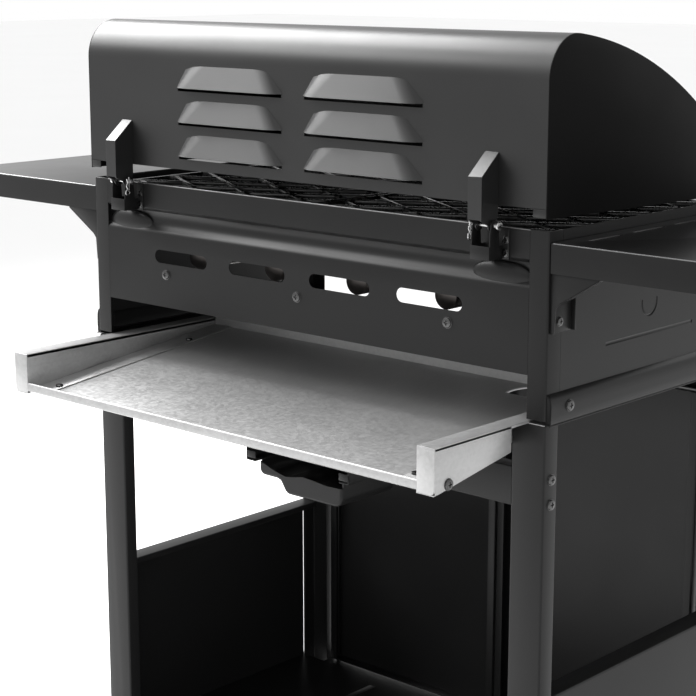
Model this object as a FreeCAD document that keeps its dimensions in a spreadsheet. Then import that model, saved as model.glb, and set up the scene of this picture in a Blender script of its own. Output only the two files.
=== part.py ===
"""Gas barbecue grill on a wheeled cart, as a parametric assembly of separate sheet-metal pieces.

Frame: +X is the user's right, -Y the front with the knobs, +Z up, origin on the ground under the middle
of the whole grill. The back of the firebox is the plane y = rear.
"""
import FreeCAD
import Part

import math
import os

Vec = FreeCAD.Vector

SIZES = {
    # overall
    "width": 735.0, "depth": 415.0, "firebox_top": 920.0,
    "sheet": 1.2, "frame_sheet": 1.5,
    # corner posts, legs and side rails
    "post": 25.0, "post_drop": 205.5, "leg_gap": 5.0,
    "leg_face": 44.0, "leg_side": 25.0, "leg_lip": 18.0, "foot_height": 25.0, "wheel_leg_bottom": 45.0,
    "rail_rise": 30.1, "side_lap": 8.0, "rail_height": 33.2, "rail_bulge": 6.0, "guide_thick": 1.9,
    # firebox
    "panel_drop": 157.5, "groove_top": 33.6, "groove_height": 27.1, "groove_deep": 8.0,
    "slot_length": 96.0, "slot_height": 17.0, "slot_drop": 92.2, "burner_pitch": 136.0,
    "burner_radius": 16.0, "tube_wall": 1.0, "burner_end_gap": 30.0, "heat_plate_drop": 46.0,
    "heat_plate_height": 24.0, "heat_plate_width": 92.0,
    "grate_drop": 6.0, "grate_thick": 10.0, "grate_bar": 7.0, "grate_ledge": 16.0, "grate_gap": 3.0,
    # lid
    "lid_back": 5.0, "lid_bottom": 23.0, "lid_arc": 544.0, "lid_centre_y": 17.0, "lid_crown": 207.0,
    "lid_corner": 47.0, "lid_sheet": 1.5, "lid_front": 399.0, "lid_tab": 13.0, "lid_side_front": 5.0,
    "louvre_width": 185.0, "louvre_height": 27.0, "louvre_deep": 11.0, "louvre_spread": 108.0,
    "louvre_first": 40.4, "louvre_pitch": 42.0,
    # lid hinges
    "hinge_spread": 294.0, "hinge_width": 18.4, "hinge_deep": 29.0, "hinge_top": 79.3,
    "hinge_shoulder": 54.6, "hinge_bottom": 8.0, "pin_y": 14.7, "pin_z": 2.0, "pin_radius": 3.0,
    "pin_clearance": 0.05, "base_width": 26.0, "base_deep": 24.3, "base_low": 35.0,
    "base_high": 20.0, "ear_radius": 6.3,
    "base_flange": 9.0, "pin_reach": 19.0,
    # handle and thermometer
    "handle_length": 480.0, "handle_radius": 13.0, "handle_standoff": 50.0, "handle_z": 60.0,
    "handle_post_radius": 9.0, "gauge_radius": 31.0, "gauge_thick": 12.0, "gauge_z": 120.0,
    # control panel, knobs, igniter
    "control_reach": 65.0, "control_height": 138.0, "control_drop": 12.0, "knob_radius": 26.0,
    "knob_reach": 38.0, "knob_drop": 82.0, "stem_radius": 4.0, "button_radius": 9.0, "button_reach": 8.0,
    "manifold_radius": 9.0, "valve_size": 26.0,
    # grease tray and cup
    "tray_out": 157.5, "tray_deep": 328.0, "tray_top": 1.6, "tray_lip_top": 38.1, "tray_floor": 49.5,
    "tray_far_floor": 12.5, "tray_far_wall": 14.0, "tray_web_inset": 46.5,
    "tray_outer_inset": 22.0, "tray_box": 128.0,
    "tray_box_low": 52.5, "tray_box_step": 21.5, "tray_flange": 27.0, "slide_gap": 0.3,
    "bar_top": 56.5, "bar_bottom": 101.5, "bar_deep": 20.0,
    "cup_rail_outer": 86.1, "cup_rail_width": 15.8, "cup_rail_top": 112.5, "cup_rail_low": 125.5,
    "cup_back": 3.0, "cup_deep": 100.0, "cup_step_x": 35.0, "cup_low": 159.5,
    "cup_wing_low": 145.5, "cup_wall": 1.5,
    # cart body
    "shelf_height": 140.0, "shelf_flange": 20.0, "side_panel_drop": 527.0, "side_flange": 29.0,
    "door_drop": 46.5, "door_gap": 1.5, "door_edge": 316.0, "door_deep": 18.0, "door_lift": 5.0,
    "hinge_inset": 5.0, "front_rail_gap": 4.0, "front_rail_height": 33.0,
    # side shelves
    "shelf_reach": 672.0, "shelf_drop": 11.5, "shelf_side": 33.0, "shelf_set_back": 2.0, "shelf_gap": 1.0,
    "towel_slot_x": 391.0, "towel_slot_length": 61.0, "towel_slot_pitch": 83.0, "towel_slot_width": 5.0,
    "towel_slot_first": 39.0, "bracket_reach": 61.0, "bracket_deep": 38.0, "bracket_low": 110.0,
    # wheels
    "wheel_radius": 75.0, "wheel_width": 30.0, "wheel_gap": 4.0, "axle_radius": 6.0, "axle_inset": 24.0,
    "bore_gap": 0.05,
    # fasteners
    "screw_radius": 6.0, "screw_height": 2.5, "screw_drop": 115.0, "screw_spread": 231.5,
    "leg_screw_drop": 272.0, "leg_screw_pitch": 28.0, "leg_screw_inset": 13.5, "rail_screw_inset": 36.0,
    "hinge_screw_radius": 4.2, "hinge_screw_drop": 14.0, "hinge_screw_pitch": 14.0,
    "tray_screw_inset": 22.0, "tray_screw_lift": 9.0, "pin_head": 2.0,
    "clip_half": 0.8, "clip_below": 18.0, "clip_above": 6.0, "clip_inset": 3.0,
}

doc = FreeCAD.newDocument("GasGrill")
sheet = doc.addObject("Spreadsheet::Sheet", "Sizes")


class Dim:
    """A length that knows both its value and the spreadsheet expression that drives it."""

    def __init__(self, value, text):
        self.value = value
        self.text = text

    def _join(self, other, sign, value, swapped=False):
        other_text = other.text if isinstance(other, Dim) else repr(float(other))
        pair = (other_text, self.text) if swapped else (self.text, other_text)
        return Dim(value, "(" + pair[0] + " " + sign + " " + pair[1] + ")")

    def __add__(self, other):
        return self._join(other, "+", self.value + number(other))

    def __radd__(self, other):
        return self._join(other, "+", number(other) + self.value, True)

    def __sub__(self, other):
        return self._join(other, "-", self.value - number(other))

    def __rsub__(self, other):
        return self._join(other, "-", number(other) - self.value, True)

    def __mul__(self, other):
        return self._join(other, "*", self.value * number(other))

    def __rmul__(self, other):
        return self._join(other, "*", number(other) * self.value, True)

    def __truediv__(self, other):
        return self._join(other, "/", self.value / number(other))

    def __neg__(self):
        return self * -1.0


def number(size):
    """The plain value of a Dim or a number."""
    return size.value if isinstance(size, Dim) else float(size)


class Sizes:
    """The spreadsheet's cells, each as a Dim under its alias."""


def fill_sheet():
    """Write every driving size to the sheet and hand the aliases back as Dims."""
    sizes = Sizes()
    for row, (alias, value) in enumerate(SIZES.items(), start=1):
        sheet.set("A" + str(row), alias)
        sheet.set("B" + str(row), str(value))
        sheet.setAlias("B" + str(row), alias)
        setattr(sizes, alias, Dim(value, "Sizes." + alias))
    doc.recompute()
    return sizes


s = fill_sheet()
used_names = set()
nodes = {}


def new_name(stem):
    """A name that no object of the document has yet."""
    count = 1
    while stem + "_" + str(count) in used_names:
        count += 1
    used_names.add(stem + "_" + str(count))
    return stem + "_" + str(count)


def bind(thing, prop, size):
    """Drive a property from the sheet."""
    if isinstance(size, Dim):
        thing.setExpression(prop, size.text)
    else:
        thing.setExpression(prop, repr(float(size)))


def place(thing, x, y, z):
    """Put an object's origin at a driven place."""
    bind(thing, "Placement.Base.x", x)
    bind(thing, "Placement.Base.y", y)
    bind(thing, "Placement.Base.z", z)


def block(x0, x1, y0, y1, z0, z1):
    """A box between two driven corners."""
    box = doc.addObject("Part::Box", new_name("block"))
    bind(box, "Length", x1 - x0)
    bind(box, "Width", y1 - y0)
    bind(box, "Height", z1 - z0)
    place(box, x0, y0, z0)
    return box


def side_block(side, x0, x1, y0, y1, z0, z1):
    """A box on the right (+1) or mirrored to the left (-1), its x taken from the middle outwards."""
    if side > 0:
        return block(x0, x1, y0, y1, z0, z1)
    return block(-x1, -x0, y0, y1, z0, z1)


TURN = {"x": FreeCAD.Rotation(Vec(0, 1, 0), 90), "y": FreeCAD.Rotation(Vec(1, 0, 0), -90),
        "z": FreeCAD.Rotation()}


def rod(axis, radius, length, x, y, z):
    """A cylinder that starts at a driven point and runs along +axis."""
    cylinder = doc.addObject("Part::Cylinder", new_name("rod"))
    cylinder.Placement = FreeCAD.Placement(Vec(0, 0, 0), TURN[axis])
    bind(cylinder, "Radius", radius)
    bind(cylinder, "Height", length)
    place(cylinder, x, y, z)
    return cylinder


def fuse(*items):
    """Several shapes as one object; shapes that don't touch stay separate solids."""
    if len(items) == 1:
        return items[0]
    union = doc.addObject("Part::MultiFuse", new_name("fuse"))
    union.Shapes = list(items)
    union.Refine = True
    return union


def cut(base, *tools):
    """A shape less one or more others."""
    rest = doc.addObject("Part::Cut", new_name("cut"))
    rest.Base = base
    rest.Tool = fuse(*tools)
    return rest


PLANE = {"x": "YZ_Plane", "y": "XZ_Plane", "z": "XY_Plane"}


def prism(axis, points, start, stop):
    """A PartDesign body: a sketched outline padded along an axis between two driven places.

    The outline's points are (y, z) along x, (x, z) along y and (x, y) along z.
    """
    body = doc.addObject("PartDesign::Body", new_name("prism"))
    sketch = body.newObject("Sketcher::SketchObject", body.Name + "_outline")
    plane = [item for item in body.Origin.OriginFeatures if item.Role == PLANE[axis]][0]
    sketch.AttachmentSupport = (plane, [""])
    sketch.MapMode = "FlatFace"
    corners = [Vec(number(u), number(v), 0) for u, v in points]
    total = len(corners)
    for index in range(total):
        sketch.addGeometry(Part.LineSegment(corners[index], corners[(index + 1) % total]), False)
    constraint = load_sketcher().Constraint
    for index in range(total):
        sketch.addConstraint(constraint("Coincident", index, 2, (index + 1) % total, 1))
    for index, (u, v) in enumerate(points):
        for kind, size in (("DistanceX", u), ("DistanceY", v)):
            row = sketch.addConstraint(constraint(kind, -1, 1, index, 1, number(size)))
            bind(sketch, "Constraints[" + str(row) + "]", size)
    pad = body.newObject("PartDesign::Pad", body.Name + "_pad")
    pad.Profile = sketch
    bind(pad, "Length", stop - start)
    bind(sketch, "AttachmentOffset.Base.z", -stop if axis == "y" else start)
    return body


def load_sketcher():
    """The Sketcher module, whose constraints the outlines use."""
    import Sketcher
    return Sketcher


def finish(label, thing):
    """Name a finished piece, which becomes a node of the assembly."""
    thing.Label = label
    nodes[label] = thing
    return thing


def made(label, shape):
    """A piece whose curved sheet is made from Part's own faces and solids."""
    feature = doc.addObject("Part::Feature", new_name("formed"))
    feature.Shape = shape
    return finish(label, feature)


# ---------------------------------------------------------------------------------------------------
# Planes that the pieces share
# ---------------------------------------------------------------------------------------------------
half = s.width / 2
top = s.firebox_top
rear = (s.depth + s.control_reach + s.knob_reach - s.tray_out) / 2
front = rear - s.depth
post_low = top - s.post_drop
leg_top = post_low - s.leg_gap
tray_outer = half - s.tray_outer_inset
guide_top = leg_top + s.guide_thick
inner_leg = half - s.leg_face
zero = Dim(0.0, "0.0")
SIDES = ((1, "right"), (-1, "left"))
ENDS = ("rear", "front")
BURNER_X = [s.burner_pitch * step for step in (-1.5, -0.5, 0.5, 1.5)]


def at_end(end, near, far):
    """The y range of a plate that lies near..far inwards from the back or the front."""
    if end == "rear":
        return rear - far, rear - near
    return front + near, front + far


# ---------------------------------------------------------------------------------------------------
# Cart
# ---------------------------------------------------------------------------------------------------
def cart_legs():
    """Four legs folded to a C; the right-hand pair is shorter and carries the axle."""
    t = s.frame_sheet
    for side, side_name in SIDES:
        bottom = s.wheel_leg_bottom if side > 0 else s.foot_height
        for end in ENDS:
            face = side_block(side, inner_leg, half, *at_end(end, zero, t), bottom, leg_top)
            outer = side_block(side, half - t, half, *at_end(end, zero, s.leg_side), bottom, leg_top)
            lip = side_block(side, inner_leg, inner_leg + t, *at_end(end, zero, s.leg_lip), bottom, leg_top)
            leg = fuse(face, outer, lip)
            if side > 0:
                hole = rod("y", s.axle_radius + s.bore_gap, s.leg_side * 2, half - s.axle_inset,
                           at_end(end, zero, t)[0] - s.leg_side, s.wheel_radius)
                leg = cut(leg, hole)
            finish("leg_" + end + "_" + side_name, leg)


def cart_feet():
    """Moulded feet under the left-hand legs."""
    feet = [side_block(-1, inner_leg, half, *at_end(end, zero, s.leg_side), zero, s.foot_height)
            for end in ENDS]
    finish("feet", fuse(*feet))


def corner_posts():
    """Four folded angles that carry the firebox panels."""
    t = s.frame_sheet
    posts = []
    for side, _ in SIDES:
        for end in ENDS:
            low = top - s.post_drop
            face = side_block(side, half - s.post, half, *at_end(end, zero, t), low, top)
            wing = side_block(side, half - t, half, *at_end(end, zero, s.post), low, top)
            posts.append(fuse(face, wing))
    finish("corner_posts", fuse(*posts))


def side_rails():
    """Bulged channels along both sides, between the firebox and the legs."""
    t = s.frame_sheet
    low = guide_top
    high = post_low + s.rail_rise
    out = half + s.rail_bulge
    for side, side_name in SIDES:
        web = side_block(side, out - t, out, front, rear - 2, low, high)
        lower = side_block(side, half, out, front, rear - 2, low, low + t)
        upper = side_block(side, half, out, front, rear - 2, high - t, high)
        finish("side_rail_" + side_name, fuse(web, lower, upper))


def tray_guides():
    """Flat ledges on the leg tops, which the side rails stand on and the tray's flanges slide on."""
    ledges = [side_block(side, inner_leg + s.sheet, half + s.rail_bulge, front, rear - 1, leg_top, guide_top)
              for side, _ in SIDES]
    finish("tray_guides", fuse(*ledges))


def cross_bars():
    """The rear bar that carries the grease cup, and the front rail above the doors."""
    t = s.frame_sheet
    low = post_low - s.bar_bottom
    high = post_low - s.bar_top
    web = block(-inner_leg, inner_leg, rear - 1 - t, rear - 1, low, high)
    under = block(-inner_leg, inner_leg, rear - 1 - s.bar_deep, rear - 1, low, low + t)
    over = block(-inner_leg, inner_leg, rear - 1 - s.bar_deep, rear - 1, high - t, high)
    finish("rear_cross_bar", fuse(web, under, over))
    low = post_low - s.door_drop + s.front_rail_gap
    high = low + s.front_rail_height
    web = block(-inner_leg, inner_leg, front, front + t, low, high)
    under = block(-inner_leg, inner_leg, front, front + s.bar_deep, low, low + t)
    over = block(-inner_leg, inner_leg, front, front + s.bar_deep, high - t, high)
    rail = fuse(web, under, over)
    finish("front_cross_rail", cut(rail, *door_pin_holes(low - t, t * 3)))


def door_pin_holes(low, length):
    """Tools for the two holes that a door's hinge pins turn in."""
    return [rod("z", s.pin_radius + s.bore_gap, length, side * (s.door_edge - s.hinge_inset),
                front + s.hinge_inset, low) for side, _ in SIDES]


def lower_panels():
    """Low side panels with a wide inward flange on top, and the bottom shelf between the legs."""
    t = s.sheet
    y0 = front + s.leg_side
    y1 = rear - s.leg_side
    high = top - s.side_panel_drop
    low = s.shelf_height - s.shelf_flange
    for side, side_name in SIDES:
        wall = side_block(side, half - t, half, y0, y1, low, high)
        flange = side_block(side, half - s.side_flange, half, y0, y1, high - t, high)
        finish("side_panel_" + side_name, fuse(wall, flange))
    deck_high = s.shelf_height
    wide = block(-(half - t), half - t, y0, y1, deck_high - t, deck_high)
    long = block(-inner_leg, inner_leg, front, rear, deck_high - t, deck_high)
    rims = [block(-inner_leg, inner_leg, *at_end(end, zero, t), low, deck_high) for end in ENDS]
    finish("bottom_shelf", cut(fuse(wide, long, *rims), *door_pin_holes(deck_high - t * 2, t * 3)))


def doors():
    """Two folded doors that hang between the front legs."""
    t = s.sheet
    low = s.shelf_height + s.door_lift
    high = post_low - s.door_drop
    for side, side_name in SIDES:
        y1 = front + s.door_deep
        skin = side_block(side, s.door_gap, s.door_edge, front, front + t, low, high)
        meet = side_block(side, s.door_gap, s.door_gap + t, front, y1, low, high)
        hang = side_block(side, s.door_edge - t, s.door_edge, front, y1, low, high)
        sill = side_block(side, s.door_gap, s.door_edge, front, y1, low, low + t)
        head = side_block(side, s.door_gap, s.door_edge, front, y1, high - t, high)
        pin_low = s.shelf_height - t * 2
        pin_high = high + s.front_rail_gap + t * 2
        pin = rod("z", s.pin_radius, pin_high - pin_low, side * (s.door_edge - s.hinge_inset),
                  front + s.hinge_inset, pin_low)
        finish("door_" + side_name, fuse(skin, meet, hang, sill, head, pin))


def wheels():
    """Two wheels on one axle through the right-hand legs."""
    x = half - s.axle_inset
    r = s.axle_radius
    over = s.wheel_gap + s.wheel_width + 3
    finish("axle", rod("y", r, s.depth + over * 2, x, front - over, s.wheel_radius))
    for end in ENDS:
        y0 = rear + s.wheel_gap if end == "rear" else front - s.wheel_gap - s.wheel_width
        disc = rod("y", s.wheel_radius, s.wheel_width, x, y0, s.wheel_radius)
        bore = rod("y", r + s.bore_gap, s.wheel_width + 2, x, y0 - 1, s.wheel_radius)
        finish("wheel_" + end, cut(disc, bore))


# ---------------------------------------------------------------------------------------------------
# Firebox
# ---------------------------------------------------------------------------------------------------
def long_slot(x, z, y0, y1):
    """A round-ended slot's tool, through in y."""
    flat = s.slot_length - s.slot_height
    middle = block(x - flat / 2, x + flat / 2, y0, y1, z - s.slot_height / 2, z + s.slot_height / 2)
    ends = [rod("y", s.slot_height / 2, y1 - y0, x + flat * shift, y0, z) for shift in (-0.5, 0.5)]
    return fuse(middle, *ends)


def rear_panel():
    """Back of the firebox: a folded band, a pressed groove and a flat skirt with four slots."""
    t = s.sheet
    inner = half - s.post
    g0 = top - s.groove_top
    g1 = g0 - s.groove_height
    deep = s.groove_deep
    third = s.groove_height / 3
    low = top - s.panel_drop
    outline = [(rear, top), (rear, g0), (rear - deep * 0.8, g0 - third * 0.7), (rear - deep, g0 - third * 1.5),
               (rear - deep * 0.8, g1 + third * 0.7), (rear, g1), (rear, low), (rear - t, low),
               (rear - t, g1), (rear - deep * 0.8 - t, g1 + third * 0.7), (rear - deep - t, g0 - third * 1.5),
               (rear - deep * 0.8 - t, g0 - third * 0.7), (rear - t, g0), (rear - t, top - t),
               (rear - t * 5, top - t), (rear - t * 5, top)]
    panel = prism("x", outline, -inner, inner)
    slots = [long_slot(x, top - s.slot_drop, rear - t * 3, rear + t) for x in BURNER_X]
    finish("firebox_rear", cut(panel, *slots))


def box_panels():
    """Sides of the firebox with the ledge that the grates lie on, and its front."""
    t = s.sheet
    low = top - s.panel_drop
    side_low = post_low + s.rail_rise - s.side_lap
    ledge_z = top - s.grate_drop - s.grate_thick
    for side, side_name in SIDES:
        wall = side_block(side, half - t, half, front + s.post, rear - s.post, side_low, top)
        ledge = side_block(side, half - s.grate_ledge - s.post, half, front + s.post, rear - s.post,
                           ledge_z - t, ledge_z)
        finish("firebox_side_" + side_name, fuse(wall, ledge))
    inner = half - s.post
    wall = block(-inner, inner, front, front + t, low, top - s.control_drop)
    holes = [rod("y", s.manifold_radius + 1, t * 3, x, front - t, top - s.slot_drop) for x in BURNER_X]
    finish("firebox_front", cut(wall, *holes))


def burners():
    """Four tube burners, each with a tail tab on the back panel and its mouth over a valve nozzle."""
    z = top - s.slot_drop
    y0 = front + s.burner_end_gap / 2
    y1 = rear - s.burner_end_gap
    for index, x in enumerate(BURNER_X, start=1):
        tube = rod("y", s.burner_radius, y1 - y0, x, y0, z)
        bore = rod("y", s.burner_radius - s.tube_wall, y1 - y0, x, y0 - s.tube_wall, z)
        tab = block(x - 8, x + 8, y1 - 2, rear - s.sheet, z + s.slot_height / 2 + 1, z + s.slot_height / 2 + 3)
        finish("burner_" + str(index), fuse(cut(tube, bore), tab))


def heat_plates():
    """Folded plates over the burners, from the front of the firebox to its back."""
    t = s.sheet
    ridge = top - s.heat_plate_drop
    eave = ridge - s.heat_plate_height
    reach = s.heat_plate_width / 2
    plates = []
    for x in BURNER_X:
        outline = [(x - reach, eave), (x, ridge), (x + reach, eave), (x + reach - t * 2, eave),
                   (x, ridge - t * 1.2), (x - reach + t * 2, eave)]
        plates.append(prism("y", outline, front + t, rear - s.groove_deep - t * 3))
    finish("heat_plates", fuse(*plates))


def cooking_grates():
    """Two lattice grates that lie on the firebox's side ledges and meet in the middle."""
    z0 = number(top - s.grate_drop - s.grate_thick)
    thick = number(s.grate_thick)
    bar = number(s.grate_bar)
    y0 = number(front) + number(s.post)
    y1 = number(rear) - number(s.post)
    x0 = number(s.grate_gap) / 2
    x1 = number(half - s.grate_ledge)
    pitch = bar * 4
    count = int((x1 - x0 - bar) / pitch)
    step = (x1 - x0 - bar) / count
    for side, side_name in SIDES:
        bars = []
        for index in range(count + 1):
            x = x0 + step * index
            bars.append(Part.makeBox(bar, y1 - y0, thick, Vec(x, y0, z0)))
        for y in (y0, (y0 + y1 - bar) / 2, y1 - bar):
            bars.append(Part.makeBox(x1 - x0, bar, thick, Vec(x0, y, z0)))
        grate = bars[0].multiFuse(bars[1:]).removeSplitter()
        if side < 0:
            grate = grate.mirror(Vec(0, 0, 0), Vec(1, 0, 0))
        made("cooking_grate_" + side_name, grate)


def gas_train():
    """Manifold pipe with four valves, their nozzles and stems, and the inlet at its end."""
    z = top - s.slot_drop
    y = front - s.control_reach / 2
    reach = half - s.post * 2
    finish("gas_manifold", rod("x", s.manifold_radius, reach * 2, -reach, y, z - s.valve_size))
    cube = s.valve_size
    valves = []
    for x in BURNER_X:
        body = block(x - cube / 2, x + cube / 2, y - cube / 2, y + cube / 2,
                     z - s.valve_size + s.manifold_radius, z + cube / 2)
        nozzle = rod("y", s.manifold_radius - 1, s.control_reach / 2 + s.burner_end_gap, x, y, z)
        link = block(x - 5, x + 5, y - cube / 2, y - cube / 4, z, top - s.knob_drop)
        stem = rod("y", s.stem_radius, s.control_reach / 2 + s.knob_reach * 0.6, x,
                   front - s.control_reach - s.knob_reach * 0.6, top - s.knob_drop)
        valves.append(fuse(body, nozzle, link, stem))
    finish("gas_valves", fuse(*valves))
    finish("gas_inlet", rod("x", s.manifold_radius + 3, s.post / 2, reach, y, z - s.valve_size))


def control_panel():
    """Folded fascia in front of the firebox, with holes for the valve stems and the button."""
    t = s.sheet
    y0 = front - s.control_reach
    low = top - s.control_drop - s.control_height
    high = top - s.control_drop
    skin = block(-half, half, y0, y0 + t, low, high)
    over = block(-half, half, y0, front, high - t, high)
    under = block(-half, half, y0, y0 + s.control_reach / 4, low, low + t)
    ends = [side_block(side, half - t, half, y0, front, low, high) for side, _ in SIDES]
    holes = [rod("y", s.stem_radius + 1, t * 3, x, y0 - t, top - s.knob_drop) for x in BURNER_X]
    holes.append(rod("y", s.button_radius + s.bore_gap, t * 3, zero, y0 - t, top - s.knob_drop))
    finish("control_panel", cut(fuse(skin, over, under, *ends), *holes))


def knobs():
    """Four burner knobs on their stems, and the sprung igniter button between them."""
    y0 = front - s.control_reach - s.knob_reach
    z = top - s.knob_drop
    for index, x in enumerate(BURNER_X, start=1):
        skirt = rod("y", s.knob_radius, s.knob_reach * 0.4, x, front - s.control_reach - s.knob_reach * 0.4 - 1,
                    z)
        grip = rod("y", s.knob_radius * 0.8, s.knob_reach * 0.3, x, y0 + s.knob_reach * 0.3, z)
        bar = block(x - s.knob_radius * 0.2, x + s.knob_radius * 0.2, y0, y0 + s.knob_reach * 0.7,
                    z - s.knob_radius * 0.75, z + s.knob_radius * 0.75)
        bore = rod("y", s.stem_radius + s.bore_gap, s.knob_reach, x, y0 + s.knob_reach * 0.39, z)
        finish("knob_" + str(index), cut(fuse(skirt, grip, bar), bore))
    button = rod("y", s.button_radius, s.button_reach + s.sheet * 8, zero,
                 front - s.control_reach - s.button_reach, z)
    finish("igniter_button", button)


# ---------------------------------------------------------------------------------------------------
# Lid
# ---------------------------------------------------------------------------------------------------
def lid_normal(z_above):
    """Where the lid's front is a given height above the firebox, and the outward normal there."""
    centre_y = number(rear + s.lid_centre_y)
    centre_z = number(top + s.lid_crown - s.lid_arc)
    z = number(top) + z_above
    radius = number(s.lid_arc)
    y = centre_y - math.sqrt(radius ** 2 - (z - centre_z) ** 2)
    return Vec(0, y, z), Vec(0, (y - centre_y) / radius, (z - centre_z) / radius)


def lid_outline(inset, back_bottom):
    """Edges of the lid's section, back wall, corner arc and front arc, moved inwards by inset."""
    back = number(rear + s.lid_back) - inset
    radius = number(s.lid_arc) - inset
    corner = number(s.lid_corner) - inset
    centre = (number(rear + s.lid_centre_y), number(top + s.lid_crown - s.lid_arc))
    corner_y = back - corner
    corner_z = centre[1] + math.sqrt((radius - corner) ** 2 - (corner_y - centre[0]) ** 2)
    turn = math.atan2(corner_z - centre[1], corner_y - centre[0])

    def on_corner(angle):
        return Vec(0, corner_y + corner * math.cos(angle), corner_z + corner * math.sin(angle))

    def on_front(angle):
        return Vec(0, centre[0] + radius * math.cos(angle), centre[1] + radius * math.sin(angle))

    front_y = number(rear - s.lid_front)
    end = math.pi - math.acos((centre[0] - front_y) / number(s.lid_arc))
    wall = Part.LineSegment(Vec(0, back, back_bottom), on_corner(0.0)).toShape()
    bend = Part.Arc(on_corner(0.0), on_corner(turn / 2), on_corner(turn)).toShape()
    sweep = Part.Arc(on_front(turn), on_front((turn + end) / 2), on_front(end)).toShape()
    return [wall, bend, sweep]


def join(edges, back):
    """A closed face from a section's outer edges and its inner edges walked back."""
    outer_start = edges[0].Vertexes[0].Point
    outer_end = edges[-1].Vertexes[-1].Point
    inner_start = back[0].Vertexes[0].Point
    inner_end = back[-1].Vertexes[-1].Point
    caps = [Part.LineSegment(outer_end, inner_end).toShape(),
            Part.LineSegment(inner_start, outer_start).toShape()]
    return Part.Face(Part.Wire(Part.__sortEdges__(edges + back + caps)))


def louvre(x, z):
    """One pressed louvre: the hood to add to the lid's back, and the opening under it to cut."""
    back = number(rear + s.lid_back)
    wall = number(s.lid_sheet)
    deep = number(s.louvre_deep)
    high = number(s.louvre_height)
    wide = number(s.louvre_width)

    def wedge(inset, overlap):
        reach = wide / 2 - inset
        taper = high * 0.8
        low = [Vec(x - reach, back - overlap, z), Vec(x + reach, back - overlap, z),
               Vec(x + reach, back + deep - inset, z), Vec(x - reach, back + deep - inset, z)]
        upper = reach - taper
        high_z = z + high - inset
        peak = [Vec(x - upper, back - overlap, high_z), Vec(x + upper, back - overlap, high_z)]
        faces = [low, [low[0], low[1], peak[1], peak[0]], [low[3], low[2], peak[1], peak[0]],
                 [low[0], low[3], peak[0]], [low[1], low[2], peak[1]]]
        shells = [Part.Face(Part.makePolygon(face + [face[0]])) for face in faces]
        return Part.Solid(Part.makeShell(shells))

    hood = wedge(0.0, 0.0)
    hollow = wedge(wall, wall * 1.5)
    return hood, hollow


def lid():
    """The lid's wrap with six louvres, and its two flat ends."""
    wall = number(s.lid_sheet)
    side = number(half)
    bottom = number(top + s.lid_bottom)
    section = join(lid_outline(0.0, bottom), lid_outline(wall, bottom))
    section.translate(Vec(-(side - wall), 0, 0))
    wrap = section.extrude(Vec(2 * (side - wall), 0, 0))
    hoods = []
    hollows = []
    for column in (-1, 1):
        for row in range(3):
            x = column * number(s.louvre_spread)
            z = number(top + s.louvre_first + s.louvre_pitch * row)
            hood, hollow = louvre(x, z)
            hoods.append(hood)
            hollows.append(hollow)
    seat, normal = lid_normal(number(s.gauge_z))
    gauge_hole = Part.makeCylinder(number(s.stem_radius) + 0.5, 40, seat - normal * 20, normal)
    made("lid_shell", wrap.multiFuse(hoods).cut(hollows + [gauge_hole]))
    tab = number(top + s.lid_tab)
    low_front = Vec(0, number(rear - s.lid_front), number(top + s.lid_side_front))
    edges = lid_outline(0.0, tab)
    start = edges[0].Vertexes[0].Point
    end = edges[-1].Vertexes[-1].Point
    edges.append(Part.LineSegment(end, low_front).toShape())
    edges.append(Part.LineSegment(low_front, start).toShape())
    face = Part.Face(Part.Wire(Part.__sortEdges__(edges)))
    for sign, side_name in SIDES:
        plate = face.copy()
        plate.translate(Vec(sign * side - (wall if sign > 0 else 0.0), 0, 0))
        made("lid_end_" + side_name, plate.extrude(Vec(wall, 0, 0)))


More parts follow.
